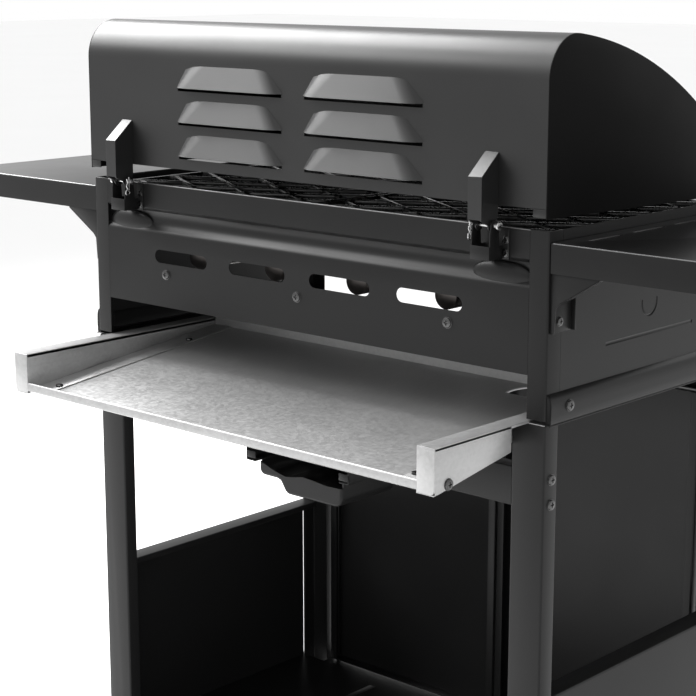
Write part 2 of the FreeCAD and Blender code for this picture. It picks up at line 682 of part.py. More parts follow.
def lid_hinges():
    """Folded brackets on the lid, their bases on the firebox, clevis pins and hairpin clips."""
    t = s.frame_sheet
    py = rear + s.pin_y
    pz = top + s.pin_z
    back = rear + s.lid_back
    out = back + s.hinge_deep
    pins = []
    clips = []
    for side, side_name in SIDES:
        x = side * s.hinge_spread
        reach = s.hinge_width / 2
        outline = [(back, top + s.hinge_top), (out, top + s.hinge_shoulder), (out, top + s.hinge_bottom),
                   (py + 7, pz), (py + 5, pz - 5), (py, pz - 7), (py - 5, pz - 5), (back, pz + 6)]
        hollow = [(back - t, top + s.hinge_top - t * 2.4), (out - t, top + s.hinge_shoulder - t * 0.6),
                  (out - t, top + s.hinge_bottom + t), (out + t, top + s.hinge_bottom), (out, pz - 9),
                  (back - t, pz - 9)]
        outer = prism("x", outline, x - reach, x + reach)
        inner = prism("x", hollow, x - reach + t, x + reach - t)
        hole = rod("x", s.pin_radius + s.pin_clearance, s.base_width, x - s.base_width / 2, py, pz)
        finish("lid_hinge_" + side_name, cut(outer, inner, hole))
        wide = s.base_width / 2
        plate = block(x - wide, x + wide, rear + s.base_deep - t, rear + s.base_deep, top - s.base_low,
                      top - s.base_high)
        cheeks = []
        for x0 in (x - wide, x + wide - t):
            cheeks.append(block(x0, x0 + t, rear, rear + s.base_deep, top - s.base_low, top - s.base_high))
            cheeks.append(block(x0, x0 + t, py - 8, rear + s.base_deep, top - s.base_high, pz))
            cheeks.append(rod("x", s.ear_radius, t, x0, py, pz))
        flange = block(x - wide - s.base_flange, x - wide, rear, rear + t, top - s.base_low, top - t)
        bore = rod("x", s.pin_radius + s.bore_gap, s.base_width + 2, x - wide - 1, py, pz)
        finish("hinge_base_" + side_name, cut(fuse(plate, flange, *cheeks), bore))
        pins.append(fuse(rod("x", s.pin_radius, s.pin_reach * 2, x - s.pin_reach, py, pz),
                         rod("x", s.pin_radius + s.pin_head, s.pin_head, x + side * s.pin_reach - s.pin_head / 2,
                             py, pz)))
        clip_x = x - side * (wide + s.clip_inset)
        clip_y = py + s.pin_radius
        clips.append(block(clip_x - s.clip_half, clip_x + s.clip_half, clip_y + 0.1, clip_y + 2,
                           pz - s.clip_below, pz + s.clip_above))
    finish("hinge_pins", fuse(*pins))
    finish("pin_clips", fuse(*clips))


def lid_fittings():
    """The front handle with its two posts, and the thermometer through the lid."""
    foot, normal = lid_normal(number(s.handle_z))
    reach = number(s.handle_length) / 2
    stand = number(s.handle_standoff)
    centre = foot + normal * stand
    bar = Part.makeCylinder(number(s.handle_radius), reach * 2, centre - Vec(reach, 0, 0), Vec(1, 0, 0))
    posts = [Part.makeCylinder(number(s.handle_post_radius), stand, foot + Vec(x, 0, 0), normal)
             for x in (-reach * 0.86, reach * 0.86)]
    made("lid_handle", bar.multiFuse(posts))
    seat, normal = lid_normal(number(s.gauge_z))
    dial = Part.makeCylinder(number(s.gauge_radius), number(s.gauge_thick), seat, normal)
    probe = Part.makeCylinder(number(s.stem_radius), 30, seat - normal * 25, normal)
    made("thermometer", dial.fuse(probe))


# ---------------------------------------------------------------------------------------------------
# Grease tray and cup
# ---------------------------------------------------------------------------------------------------
def grease_tray():
    """Sloping pan with a rear lip and raised sides, and the folded side boxes screwed to it."""
    t = s.sheet
    y1 = rear + s.tray_out
    y0 = y1 - s.tray_deep
    low = post_low - s.tray_floor
    high = post_low - s.tray_far_floor
    web = half - s.tray_web_inset
    floor = [(y1, low), (y0, high), (y0, high + t), (y1, low + t)]
    pan = prism("x", floor, -web, web)
    lip = block(-web, web, y1 - t, y1, low, post_low - s.tray_lip_top)
    far = block(-web, web, y0, y0 + t, high, high + s.tray_far_wall)
    finish("grease_tray", fuse(pan, lip, far))
    flange_low = post_low - s.tray_top - t
    sides = []
    for side, _ in SIDES:
        near = y1 - s.tray_box
        flange = side_block(side, web, tray_outer, y0, y1, flange_low, post_low - s.tray_top)
        wall = [(y1, low), (y0, high), (y0, post_low - s.tray_top), (y1, post_low - s.tray_top)]
        x0, x1 = (web, web + t) if side > 0 else (-web - t, -web)
        inner = prism("x", wall, x0, x1)
        box_low = post_low - s.tray_box_low
        high_edge = post_low - s.tray_top
        skin = [(y1, box_low), (near, box_low + s.tray_box_step), (near, high_edge), (y1, high_edge)]
        x0, x1 = (tray_outer - t, tray_outer) if side > 0 else (-tray_outer, t - tray_outer)
        outer = prism("x", skin, x0, x1)
        cap = side_block(side, web, tray_outer, y1 - t, y1, box_low, post_low - s.tray_top)
        sides.append(fuse(flange, inner, outer, cap))
    finish("tray_sides", fuse(*sides))


def grease_cup():
    """Two rails under the rear bar, and the drip cup that slides in them."""
    t = s.frame_sheet
    outer = s.cup_rail_outer
    y1 = rear + s.cup_back
    y0 = y1 - s.cup_deep - 10
    low = post_low - s.cup_rail_low
    high = post_low - s.cup_rail_top
    pieces = [block(-outer, outer, y0, y1, high - t, high),
              block(-outer, outer, rear - 1 - t, rear - 1, high - t, post_low - s.bar_bottom)]
    for side, _ in SIDES:
        pieces.append(side_block(side, outer - t, outer, y0, y1, low, high))
        pieces.append(side_block(side, outer - s.cup_rail_width, outer, y0, y1, low, low + t))
    opening = block(-(outer - s.cup_rail_width), outer - s.cup_rail_width, y0 + 12, rear - 12,
                    high - t * 2, high + t)
    finish("cup_rails", cut(fuse(*pieces), opening))
    gap = s.slide_gap
    w = s.cup_wall
    rim_low = low + t + gap
    rim = block(-(outer - t - gap), outer - t - gap, rear - s.cup_deep, rear - w * 2, rim_low, rim_low + w)
    inner = outer - s.cup_rail_width - gap
    neck = block(-inner, inner, rear - s.cup_deep, rear - w * 2, low - w, rim_low + w)
    bottom = post_low - s.cup_low
    wing_bottom = post_low - s.cup_wing_low
    deep = block(-inner, s.cup_step_x, rear - s.cup_deep, rear - w * 2, bottom, low)
    wing = block(-inner, inner, rear - s.cup_deep, rear - w * 2, wing_bottom, low)
    hollow_deep = block(-inner + w, s.cup_step_x - w, rear - s.cup_deep + w, rear - w * 3, bottom + w, high)
    hollow_wing = block(-inner + w, inner - w, rear - s.cup_deep + w, rear - w * 3, wing_bottom + w, high)
    finish("grease_cup", cut(fuse(rim, neck, deep, wing), hollow_deep, hollow_wing))


# ---------------------------------------------------------------------------------------------------
# Side shelves
# ---------------------------------------------------------------------------------------------------
def side_shelves():
    """Two folded shelves with a row of utensil slots, on brackets screwed to the corner posts."""
    t = s.sheet
    gap = s.shelf_gap
    x0 = half + gap
    x1 = s.shelf_reach
    y1 = rear - s.shelf_set_back
    y0 = front + s.shelf_set_back
    high = top - s.shelf_drop
    low = high - s.shelf_side
    brackets = []
    for side, side_name in SIDES:
        deck = side_block(side, x0, x1, y0, y1, high - t, high)
        walls = [side_block(side, x0, x0 + t, y0, y1, low, high),
                 side_block(side, x1 - t, x1, y0, y1, low, high),
                 side_block(side, x0, x1, y0, y0 + t, low, high),
                 side_block(side, x0, x1, y1 - t, y1, low, high)]
        slots = []
        for index in range(4):
            slot_y = rear - s.towel_slot_first - s.towel_slot_pitch * index
            slots.append(side_block(side, s.towel_slot_x - s.towel_slot_width / 2,
                                    s.towel_slot_x + s.towel_slot_width / 2, slot_y - s.towel_slot_length, slot_y,
                                    high - t * 2, high + t))
        finish("side_shelf_" + side_name, cut(fuse(deck, *walls), *slots))
        for end in ENDS:
            web_y = at_end(end, s.shelf_set_back + t * 2, s.shelf_set_back + t * 3)
            bottom = top - s.bracket_low
            corner = low - 2
            tip = half + s.bracket_reach
            points = [(half, bottom), (half, low), (tip, low), (tip, corner),
                      (half + 12, corner - 30), (half + 4, bottom)]
            if side < 0:
                points = [(-x, z) for x, z in points]
            web = prism("y", points, *web_y)
            pad_y = at_end(end, s.shelf_set_back + t * 2, s.shelf_set_back + t * 2 + s.bracket_deep)
            pad = side_block(side, half, half + gap, *pad_y, bottom, low)
            brackets.append(fuse(web, pad))
    finish("shelf_brackets", fuse(*brackets))


def fasteners():
    """Pan-head screws on the back panel, legs, rails and hinge bases, and on the tray's side boxes."""
    r = s.screw_radius
    lift = s.screw_height
    heads = []
    for x in (-s.screw_spread, zero, s.screw_spread):
        heads.append(rod("y", r, lift, x, rear, top - s.screw_drop))
    for side, _ in SIDES:
        x_face = half if side > 0 else -half - lift
        for drop in (s.leg_screw_drop, s.leg_screw_drop + s.leg_screw_pitch):
            heads.append(rod("x", r, lift, x_face, rear - s.leg_screw_inset, top - drop))
            heads.append(rod("x", r, lift, x_face, front + s.leg_screw_inset, top - drop))
        rail_face = half + s.rail_bulge if side > 0 else -half - s.rail_bulge - lift
        for y in (rear - s.rail_screw_inset, front + s.rail_screw_inset):
            heads.append(rod("x", r, lift, rail_face, y, post_low + s.rail_rise - s.rail_height / 2))
        hinge_x = side * s.hinge_spread - s.base_width / 2 - s.base_flange / 2
        for drop in (s.hinge_screw_drop, s.hinge_screw_drop + s.hinge_screw_pitch):
            heads.append(rod("y", s.hinge_screw_radius, lift, hinge_x, rear + s.frame_sheet, top - drop))
    finish("frame_screws", fuse(*heads))
    tray_heads = []
    y1 = rear + s.tray_out
    for side, _ in SIDES:
        x_face = tray_outer if side > 0 else -tray_outer - lift
        tray_heads.append(rod("x", r, lift, x_face, y1 - s.tray_screw_inset,
                              post_low - s.tray_box_low + s.tray_screw_lift))
    finish("tray_screws", fuse(*tray_heads))


def check_and_write():
    """Refuse any failed or empty shape, then write one STEP file for each node."""
    doc.recompute()
    for thing in doc.Objects:
        if "Invalid" in thing.State or "Error" in thing.State:
            raise RuntimeError("failed object: " + thing.Name + " " + thing.Label)
    os.makedirs("parts", exist_ok=True)
    for label, thing in nodes.items():
        shape = thing.Shape
        if shape.isNull() or not shape.isValid() or not shape.Solids:
            raise RuntimeError("bad shape: " + label)
        shape.exportStep("parts/" + label + ".step")
    print("nodes", len(nodes))


cart_legs()
cart_feet()
corner_posts()
side_rails()
tray_guides()
cross_bars()
lower_panels()
doors()
wheels()
rear_panel()
box_panels()
burners()
heat_plates()
cooking_grates()
gas_train()
control_panel()
knobs()
lid()
lid_hinges()
lid_fittings()
grease_tray()
grease_cup()
side_shelves()
fasteners()
check_and_write()
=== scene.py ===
"""Looks of a wheeled gas barbecue grill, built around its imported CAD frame.

Every length is in metres, in the frame of the CAD part: +X the user's right, -Y the front with the knobs,
+Z up. Each sub-assembly is a class that reads its place from the CAD boxes, models its pieces with mesh
operators, gives them a finish and lets them ride on their CAD body.
"""
from __future__ import annotations

import logging
import math
from contextlib import contextmanager
from dataclasses import dataclass
from enum import Enum
from typing import Callable, Iterator, Sequence

import bmesh
import bpy
from bpy.types import Material, Object
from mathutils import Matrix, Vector


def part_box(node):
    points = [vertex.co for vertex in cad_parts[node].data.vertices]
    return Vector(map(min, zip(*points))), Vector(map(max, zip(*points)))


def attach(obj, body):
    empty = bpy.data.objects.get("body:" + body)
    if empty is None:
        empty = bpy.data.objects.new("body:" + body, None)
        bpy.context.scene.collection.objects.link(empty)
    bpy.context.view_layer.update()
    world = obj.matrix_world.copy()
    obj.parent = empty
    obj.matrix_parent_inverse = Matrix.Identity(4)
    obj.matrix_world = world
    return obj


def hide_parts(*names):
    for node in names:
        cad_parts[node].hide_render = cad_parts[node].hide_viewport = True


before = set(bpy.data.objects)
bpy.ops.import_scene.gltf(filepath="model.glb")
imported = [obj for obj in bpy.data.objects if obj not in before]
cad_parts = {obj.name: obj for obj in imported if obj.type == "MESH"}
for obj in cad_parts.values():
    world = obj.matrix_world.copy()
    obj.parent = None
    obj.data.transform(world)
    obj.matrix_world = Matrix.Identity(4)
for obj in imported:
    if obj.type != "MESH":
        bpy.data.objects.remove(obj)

LOG = logging.getLogger("grill")
BURNER_COLUMNS = (-0.204, -0.068, 0.068, 0.204)
SIDES = (1, -1)
HANDS = ((1, "right"), (-1, "left"))
Test = Callable[[Vector], bool]
Places = Sequence[Sequence[float]]


class Slot(Enum):
    """Material slots of the record; each finish is kept together with one of them."""

    COAT = "black_powder_coat"
    GALVANISED = "galvanised"
    ZINC = "zinc"
    IRON = "cast_iron"
    TUBE = "burner_steel"
    BRASS = "brass"
    PLASTIC = "black_plastic"
    DIAL = "dial_steel"
    TYRE = "tyre_rubber"


class Kind(Enum):
    """What edit mode selects: vertices, edges or faces."""

    VERTS = "VERT"
    EDGES = "EDGE"
    FACES = "FACE"


class Axis(Enum):
    """A frame axis, with the turn that lays a cylinder along it."""

    X = (Vector((1, 0, 0)), (0.0, math.pi / 2, 0.0))
    Y = (Vector((0, 1, 0)), (math.pi / 2, 0.0, 0.0))
    Z = (Vector((0, 0, 1)), (0.0, 0.0, 0.0))

    def lay(self, at: float, pairs: Places) -> list[tuple[float, ...]]:
        """Pairs of the two other coordinates, in frame order, as points of a plane square to this axis.

        Args:
            at: Where the plane meets the axis.
            pairs: Two coordinates for each point.

        Returns:
            The points.
        """
        order = list(Axis).index(self)
        return [(*pair[:order], at, *pair[order:]) for pair in pairs]


X, Y, Z = Axis


@dataclass(frozen=True)
class Span:
    """Lowest and highest corner of a CAD node."""

    lo: Vector
    hi: Vector

    @classmethod
    def of(cls, node: str) -> Span:
        """The box of a CAD node at rest.

        Args:
            node: The node's name.

        Returns:
            Its span in metres.
        """
        lo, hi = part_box(node)
        return cls(lo, hi)

    @property
    def mid(self) -> Vector:
        """The middle of the box."""
        return (self.lo + self.hi) / 2

    @property
    def size(self) -> Vector:
        """The box's three lengths."""
        return self.hi - self.lo


# Modelling bench
class Bench:
    """Primitives, folds, plates and cuts, all made with Blender's own operators."""

    def only(self, *pieces: Object) -> None:
        """Select these pieces alone and make the first one active.

        Args:
            pieces: The pieces that the next operator works on.
        """
        bpy.ops.object.select_all(action="DESELECT")
        for piece in pieces:
            piece.select_set(True)
        if pieces:
            bpy.context.view_layer.objects.active = pieces[0]

    @contextmanager
    def editing(self, piece: Object) -> Iterator[Object]:
        """Edit mode on one piece, for the length of a with block.

        Args:
            piece: The piece to shape.

        Yields:
            The same piece.
        """
        self.only(piece)
        bpy.ops.object.mode_set(mode="EDIT")
        yield piece
        bpy.ops.object.mode_set(mode="OBJECT")

    def pick(self, piece: Object, kind: Kind, test: Test) -> None:
        """Select elements by place, in edit mode.

        Args:
            piece: The piece in edit mode.
            kind: Vertices, edges or faces.
            test: Says of an element's middle whether it is wanted.
        """
        bpy.ops.mesh.select_mode(type=kind.value)
        bpy.ops.mesh.select_all(action="DESELECT")
        mesh = bmesh.from_edit_mesh(piece.data)
        for item in {Kind.VERTS: mesh.verts, Kind.EDGES: mesh.edges, Kind.FACES: mesh.faces}[kind]:
            points = [item.co] if kind is Kind.VERTS else [vertex.co for vertex in item.verts]
            if test(sum(points, Vector()) / len(points)):
                item.select_set(True)
        bmesh.update_edit_mesh(piece.data)

    def settle(self, piece: Object, name: str) -> Object:
        """Name a piece and put its place into its mesh.

        Args:
            piece: A piece that still has a location, turn or scale.
            name: Its name.

        Returns:
            The same piece, with its object at the origin.
        """
        self.only(piece)
        bpy.ops.object.transform_apply(location=True, rotation=True, scale=True)
        piece.name = name
        piece.data.name = name
        return piece

    def trail(self, name: str, points: Places) -> Object:
        """A line of edges, extruded vertex by vertex from a start point.

        Args:
            name: The piece's name.
            points: Where the line goes.

        Returns:
            A mesh of edges only.
        """
        stops = [Vector(point) for point in points]
        self.only()
        bpy.ops.mesh.primitive_plane_add(size=0.01, location=stops[0])
        piece = bpy.context.object
        with self.editing(piece):
            bpy.ops.mesh.select_mode(type="VERT")
            bpy.ops.mesh.select_all(action="SELECT")
            bpy.ops.mesh.merge(type="CENTER")
            for here, there in zip(stops, stops[1:]):
                bpy.ops.mesh.extrude_vertices_move(TRANSFORM_OT_translate={"value": there - here})
        return self.settle(piece, name)

    def fold(self, name: str, axis: Axis, start: float, length: float, section: Places, wall: float,
             toward: Sequence[float], bend: float = 0.002, rim: float = 0.0003) -> Object:
        """A folded sheet: a line drawn out along an axis, its folds rounded, then given its wall.

        Args:
            name: The piece's name.
            axis: The axis that the section runs along.
            start: Where it starts on that axis.
            length: How far it runs.
            section: The section's corners, on the sheet's drawn face.
            wall: The sheet's thickness.
            toward: A point on the side that the thickness grows to.
            bend: The rounding of the folds, or 0 for sharp ones.
            rim: The rounding of the sheet's cut edges.

        Returns:
            The folded piece.
        """
        piece = self.trail(name, axis.lay(start, section))
        with self.editing(piece):
            bpy.ops.mesh.select_all(action="SELECT")
            bpy.ops.mesh.extrude_edges_move(TRANSFORM_OT_translate={"value": axis.value[0] * length})
            self.outwards()
        if bend > 0:
            self.soften(piece, bend, 3, 12.0)
        self.thicken(piece, wall, toward)
        if rim > 0:
            self.soften(piece, rim, 1, 60.0)
        return self.smooth(piece)

    def plate(self, name: str, axis: Axis, start: float, depth: float, outline: Places, rim: float = 0.0004,
              steps: int = 2) -> Object:
        """A closed outline filled and drawn out to a plate.

        Args:
            name: The piece's name.
            axis: The axis that the plate is square to.
            start: Where its lower face lies on that axis.
            depth: Its thickness.
            outline: The outline's corners.
            rim: The rounding of its edges, or 0.
            steps: Segments of that rounding.

        Returns:
            The plate.
        """
        piece = self.trail(name, axis.lay(start, outline))
        with self.editing(piece):
            bpy.ops.mesh.select_all(action="SELECT")
            bpy.ops.mesh.edge_face_add()
            bpy.ops.mesh.extrude_region_move(TRANSFORM_OT_translate={"value": axis.value[0] * depth})
            self.outwards()
        if rim > 0:
            self.soften(piece, rim, steps, 30.0)
        return self.smooth(piece)

    def outwards(self) -> None:
        """Turn all faces of the piece in edit mode outwards."""
        bpy.ops.mesh.select_all(action="SELECT")
        bpy.ops.mesh.normals_make_consistent(inside=False)

    def box(self, name: str, lo: Sequence[float], hi: Sequence[float], rim: float = 0.0005,
            steps: int = 2) -> Object:
        """A cube primitive at its size and place, with rounded edges.

        Args:
            name: The piece's name.
            lo: One corner.
            hi: The corner across from it.
            rim: The rounding of its edges, or 0.
            steps: Segments of that rounding.

        Returns:
            The box.
        """
        low, high = Vector([*map(min, lo, hi)]), Vector([*map(max, lo, hi)])
        self.only()
        bpy.ops.mesh.primitive_cube_add(size=1, location=(low + high) / 2)
        piece = bpy.context.object
        piece.scale = high - low
        self.settle(piece, name)
        if rim > 0:
            self.soften(piece, rim, steps, 30.0)
            self.smooth(piece)
        return piece

    def rod(self, name: str, axis: Axis, radius: float, start: Sequence[float], length: float,
            rim: float = 0.0005, sides: int = 32) -> Object:
        """A cylinder primitive along an axis, with rounded rims.

        Args:
            name: The piece's name.
            axis: The axis that it lies along.
            radius: Its radius.
            start: The middle of its lower end.
            length: How long it is.
            rim: The rounding of its rims, or 0.
            sides: Faces round it.

        Returns:
            The rod.
        """
        direction, turn = axis.value
        return self.cylinder(name, radius, Vector(start) + direction * length / 2, turn, length, rim, sides)

    def lean_rod(self, name: str, radius: float, start: Vector, end: Vector, rim: float = 0.0005,
                 sides: int = 32) -> Object:
        """A cylinder between any two points.

        Args:
            name: The piece's name.
            radius: Its radius.
            start: The middle of one end.
            end: The middle of the other end.
            rim: The rounding of its rims, or 0.
            sides: Faces round it.

        Returns:
            The rod.
        """
        line = end - start
        turn = line.to_track_quat("Z", "Y").to_euler()
        return self.cylinder(name, radius, (start + end) / 2, turn, line.length, rim, sides)

    def cylinder(self, name: str, radius: float, middle: Vector, turn: Sequence[float], length: float,
                 rim: float, sides: int) -> Object:
        """A turned cylinder primitive with rounded rims.

        Args:
            name: The piece's name.
            radius: Its radius.
            middle: Its middle.
            turn: Its turn from upright.
            length: How long it is.
            rim: The rounding of its rims, or 0.
            sides: Faces round it.

        Returns:
            The cylinder.
        """
        self.only()
        bpy.ops.mesh.primitive_cylinder_add(vertices=sides, radius=radius, depth=length, location=middle,
                                            rotation=turn)
        piece = self.settle(bpy.context.object, name)
        if rim > 0:
            self.soften(piece, rim, 2, 60.0)
        return self.smooth(piece)

    def wire(self, name: str, points: Places, radius: float) -> Object:
        """A round wire along a line of points.

        Args:
            name: The piece's name.
            points: Where it goes.
            radius: The wire's radius.

        Returns:
            The wire as a mesh.
        """
        piece = self.trail(name, points)
        self.only(piece)
        bpy.ops.object.convert(target="CURVE")
        curve = bpy.context.object
        curve.data.bevel_depth = radius
        curve.data.bevel_resolution = 2
        curve.data.use_fill_caps = True
        bpy.ops.object.convert(target="MESH")
        return self.smooth(self.settle(bpy.context.object, name))

    def modify(self, piece: Object, kind: str, **settings: object) -> Object:
        """Add a modifier and apply it.

        Args:
            piece: The piece to change.
            kind: The modifier's type.
            settings: Its settings.

        Returns:
            The same piece.
        """
        self.only(piece)
        modifier = piece.modifiers.new(kind.title(), kind)
        for key, value in settings.items():
            setattr(modifier, key, value)
        bpy.ops.object.modifier_apply(modifier=modifier.name)
        return piece

    def soften(self, piece: Object, width: float, steps: int = 2, angle: float = 30.0) -> Object:
        """Round the edges that turn by more than an angle.

        Args:
            piece: The piece.
            width: The rounding's width.
            steps: Its segments.
            angle: The least turn, in degrees.

        Returns:
            The same piece.
        """
        return self.modify(piece, "BEVEL", width=width, segments=steps, limit_method="ANGLE",
                           angle_limit=math.radians(angle), use_clamp_overlap=True)

    def thicken(self, piece: Object, wall: float, toward: Sequence[float]) -> Object:
        """Give an open sheet its wall, on the side where a point lies.

        Args:
            piece: The open sheet.
            wall: Its thickness.
            toward: A point on the inner side.

        Returns:
            The same piece.
        """
        goal = Vector(toward)
        lean = sum(face.area * face.normal.dot((goal - face.center).normalized())
                   for face in piece.data.polygons)
        return self.modify(piece, "SOLIDIFY", thickness=wall, offset=1.0 if lean > 0 else -1.0,
                           use_even_offset=True)

    def smooth(self, piece: Object, angle: float = 32.0) -> Object:
        """Shade smooth except over sharp edges.

        Args:
            piece: The piece.
            angle: The sharp edges' least angle, in degrees.

        Returns:
            The same piece.
        """
        self.only(piece)
        bpy.ops.object.shade_smooth_by_angle(angle=math.radians(angle))
        return piece

    def cut(self, piece: Object, tools: Sequence[Object]) -> Object:
        """Take solids away from a piece and remove them.

        Args:
            piece: The closed piece.
            tools: Closed solids, which don't touch each other.

        Returns:
            The same piece.
        """
        tool = self.join("cutter", tools)
        self.modify(piece, "BOOLEAN", operation="DIFFERENCE", solver="EXACT", object=tool)
        bpy.data.objects.remove(tool)
        return self.smooth(piece)

    def drill(self, piece: Object, axis: Axis, radius: float, length: float, places: Places,
              sides: int = 32) -> Object:
        """Cut round holes of one size.

        Args:
            piece: The closed piece.
            axis: The axis that the drill runs along.
            radius: The holes' radius.
            length: How far the drill runs.
            places: Where it starts, for each hole.
            sides: Faces round each hole.

        Returns:
            The same piece.
        """
        return self.cut(piece, [self.rod("drill", axis, radius, place, length, 0.0, sides)
                                for place in places])

    def join(self, name: str, pieces: Sequence[Object]) -> Object:
        """Join pieces into one.

        Args:
            name: The joined piece's name.
            pieces: What to join.

        Returns:
            The joined piece.
        """
        self.only(*pieces)
        if len(pieces) > 1:
            bpy.ops.object.join()
        piece = bpy.context.view_layer.objects.active
        piece.name = name
        piece.data.name = name
        return piece

    def copy(self, piece: Object, name: str, shift: Sequence[float] = (0, 0, 0)) -> Object:
        """A copy with its own mesh, moved.

        Args:
            piece: The piece to copy.
            name: The copy's name.
            shift: How far to move it.

        Returns:
            The copy.
        """
        self.only(piece)
        bpy.ops.object.duplicate(linked=False)
        bpy.ops.transform.translate(value=Vector(shift))
        return self.settle(bpy.context.object, name)

    def twin(self, piece: Object, name: str) -> Object:
        """The same piece mirrored to the grill's other side.

        Args:
            piece: The piece to mirror.
            name: The twin's name.

        Returns:
            The mirrored copy, with its faces outwards again.
        """
        other = self.copy(piece, name)
        self.only(other)
        bpy.ops.transform.resize(value=(-1, 1, 1), center_override=(0, 0, 0))
        bpy.ops.object.transform_apply(location=True, rotation=True, scale=True)
        if self.inside_out(piece, other):
            with self.editing(other):
                bpy.ops.mesh.select_all(action="SELECT")
                bpy.ops.mesh.flip_normals()
        return other

    def pair(self, name: str, piece: Object) -> Object:
        """A right-hand piece and its mirrored twin as one piece."""
        return self.join(name, [piece, self.twin(piece, name)])

    def inside_out(self, piece: Object, other: Object) -> bool:
        """Whether a mirrored copy's faces point against those of its model.

        Args:
            piece: The model.
            other: Its mirrored copy, with the same faces.

        Returns:
            True if the copy has to be turned round.
        """
        lean = 0.0
        for first, second in zip(piece.data.polygons, other.data.polygons):
            lean += first.area * first.normal.dot(Vector((-second.normal.x, second.normal.y,
                                                          second.normal.z)))
        return lean < 0


BENCH = Bench()


def arc(centre: Sequence[float], radius: float, first: float, last: float,
        count: int) -> list[tuple[float, float]]:
    """Points along an arc.

    Args:
        centre: The arc's middle, two numbers.
        radius: Its radius.
        first: The start angle in degrees.
        last: The end angle in degrees.
        count: How many steps.

    Returns:
        The points, as pairs.
    """
    turns = [math.radians(first + (last - first) * step / count) for step in range(count + 1)]
    return [(centre[0] + radius * math.cos(turn), centre[1] + radius * math.sin(turn)) for turn in turns]


# Finishes
class Value:
    """A number that flows through a node tree; sums and products on it add Math nodes."""

    def __init__(self, tree: Tree, socket: bpy.types.NodeSocket) -> None:
        """Wrap an output socket of a tree."""
        self.tree = tree
        self.socket = socket

    def _math(self, operation: str, first: object, second: object) -> Value:
        """One Math node.

        Args:
            operation: The Math node's operation.
            first: A value or a number.
            second: A value or a number.

        Returns:
            The node's result.
        """
        return Value(self.tree, self.tree.add("ShaderNodeMath", {"operation": operation},
                                              {0: first, 1: second}, 0))

    def __add__(self, other: object) -> Value:
        """Value plus other."""
        return self._math("ADD", self, other)

    __radd__ = __add__

    def __mul__(self, other: object) -> Value:
        """Value times other."""
        return self._math("MULTIPLY", self, other)

    __rmul__ = __mul__


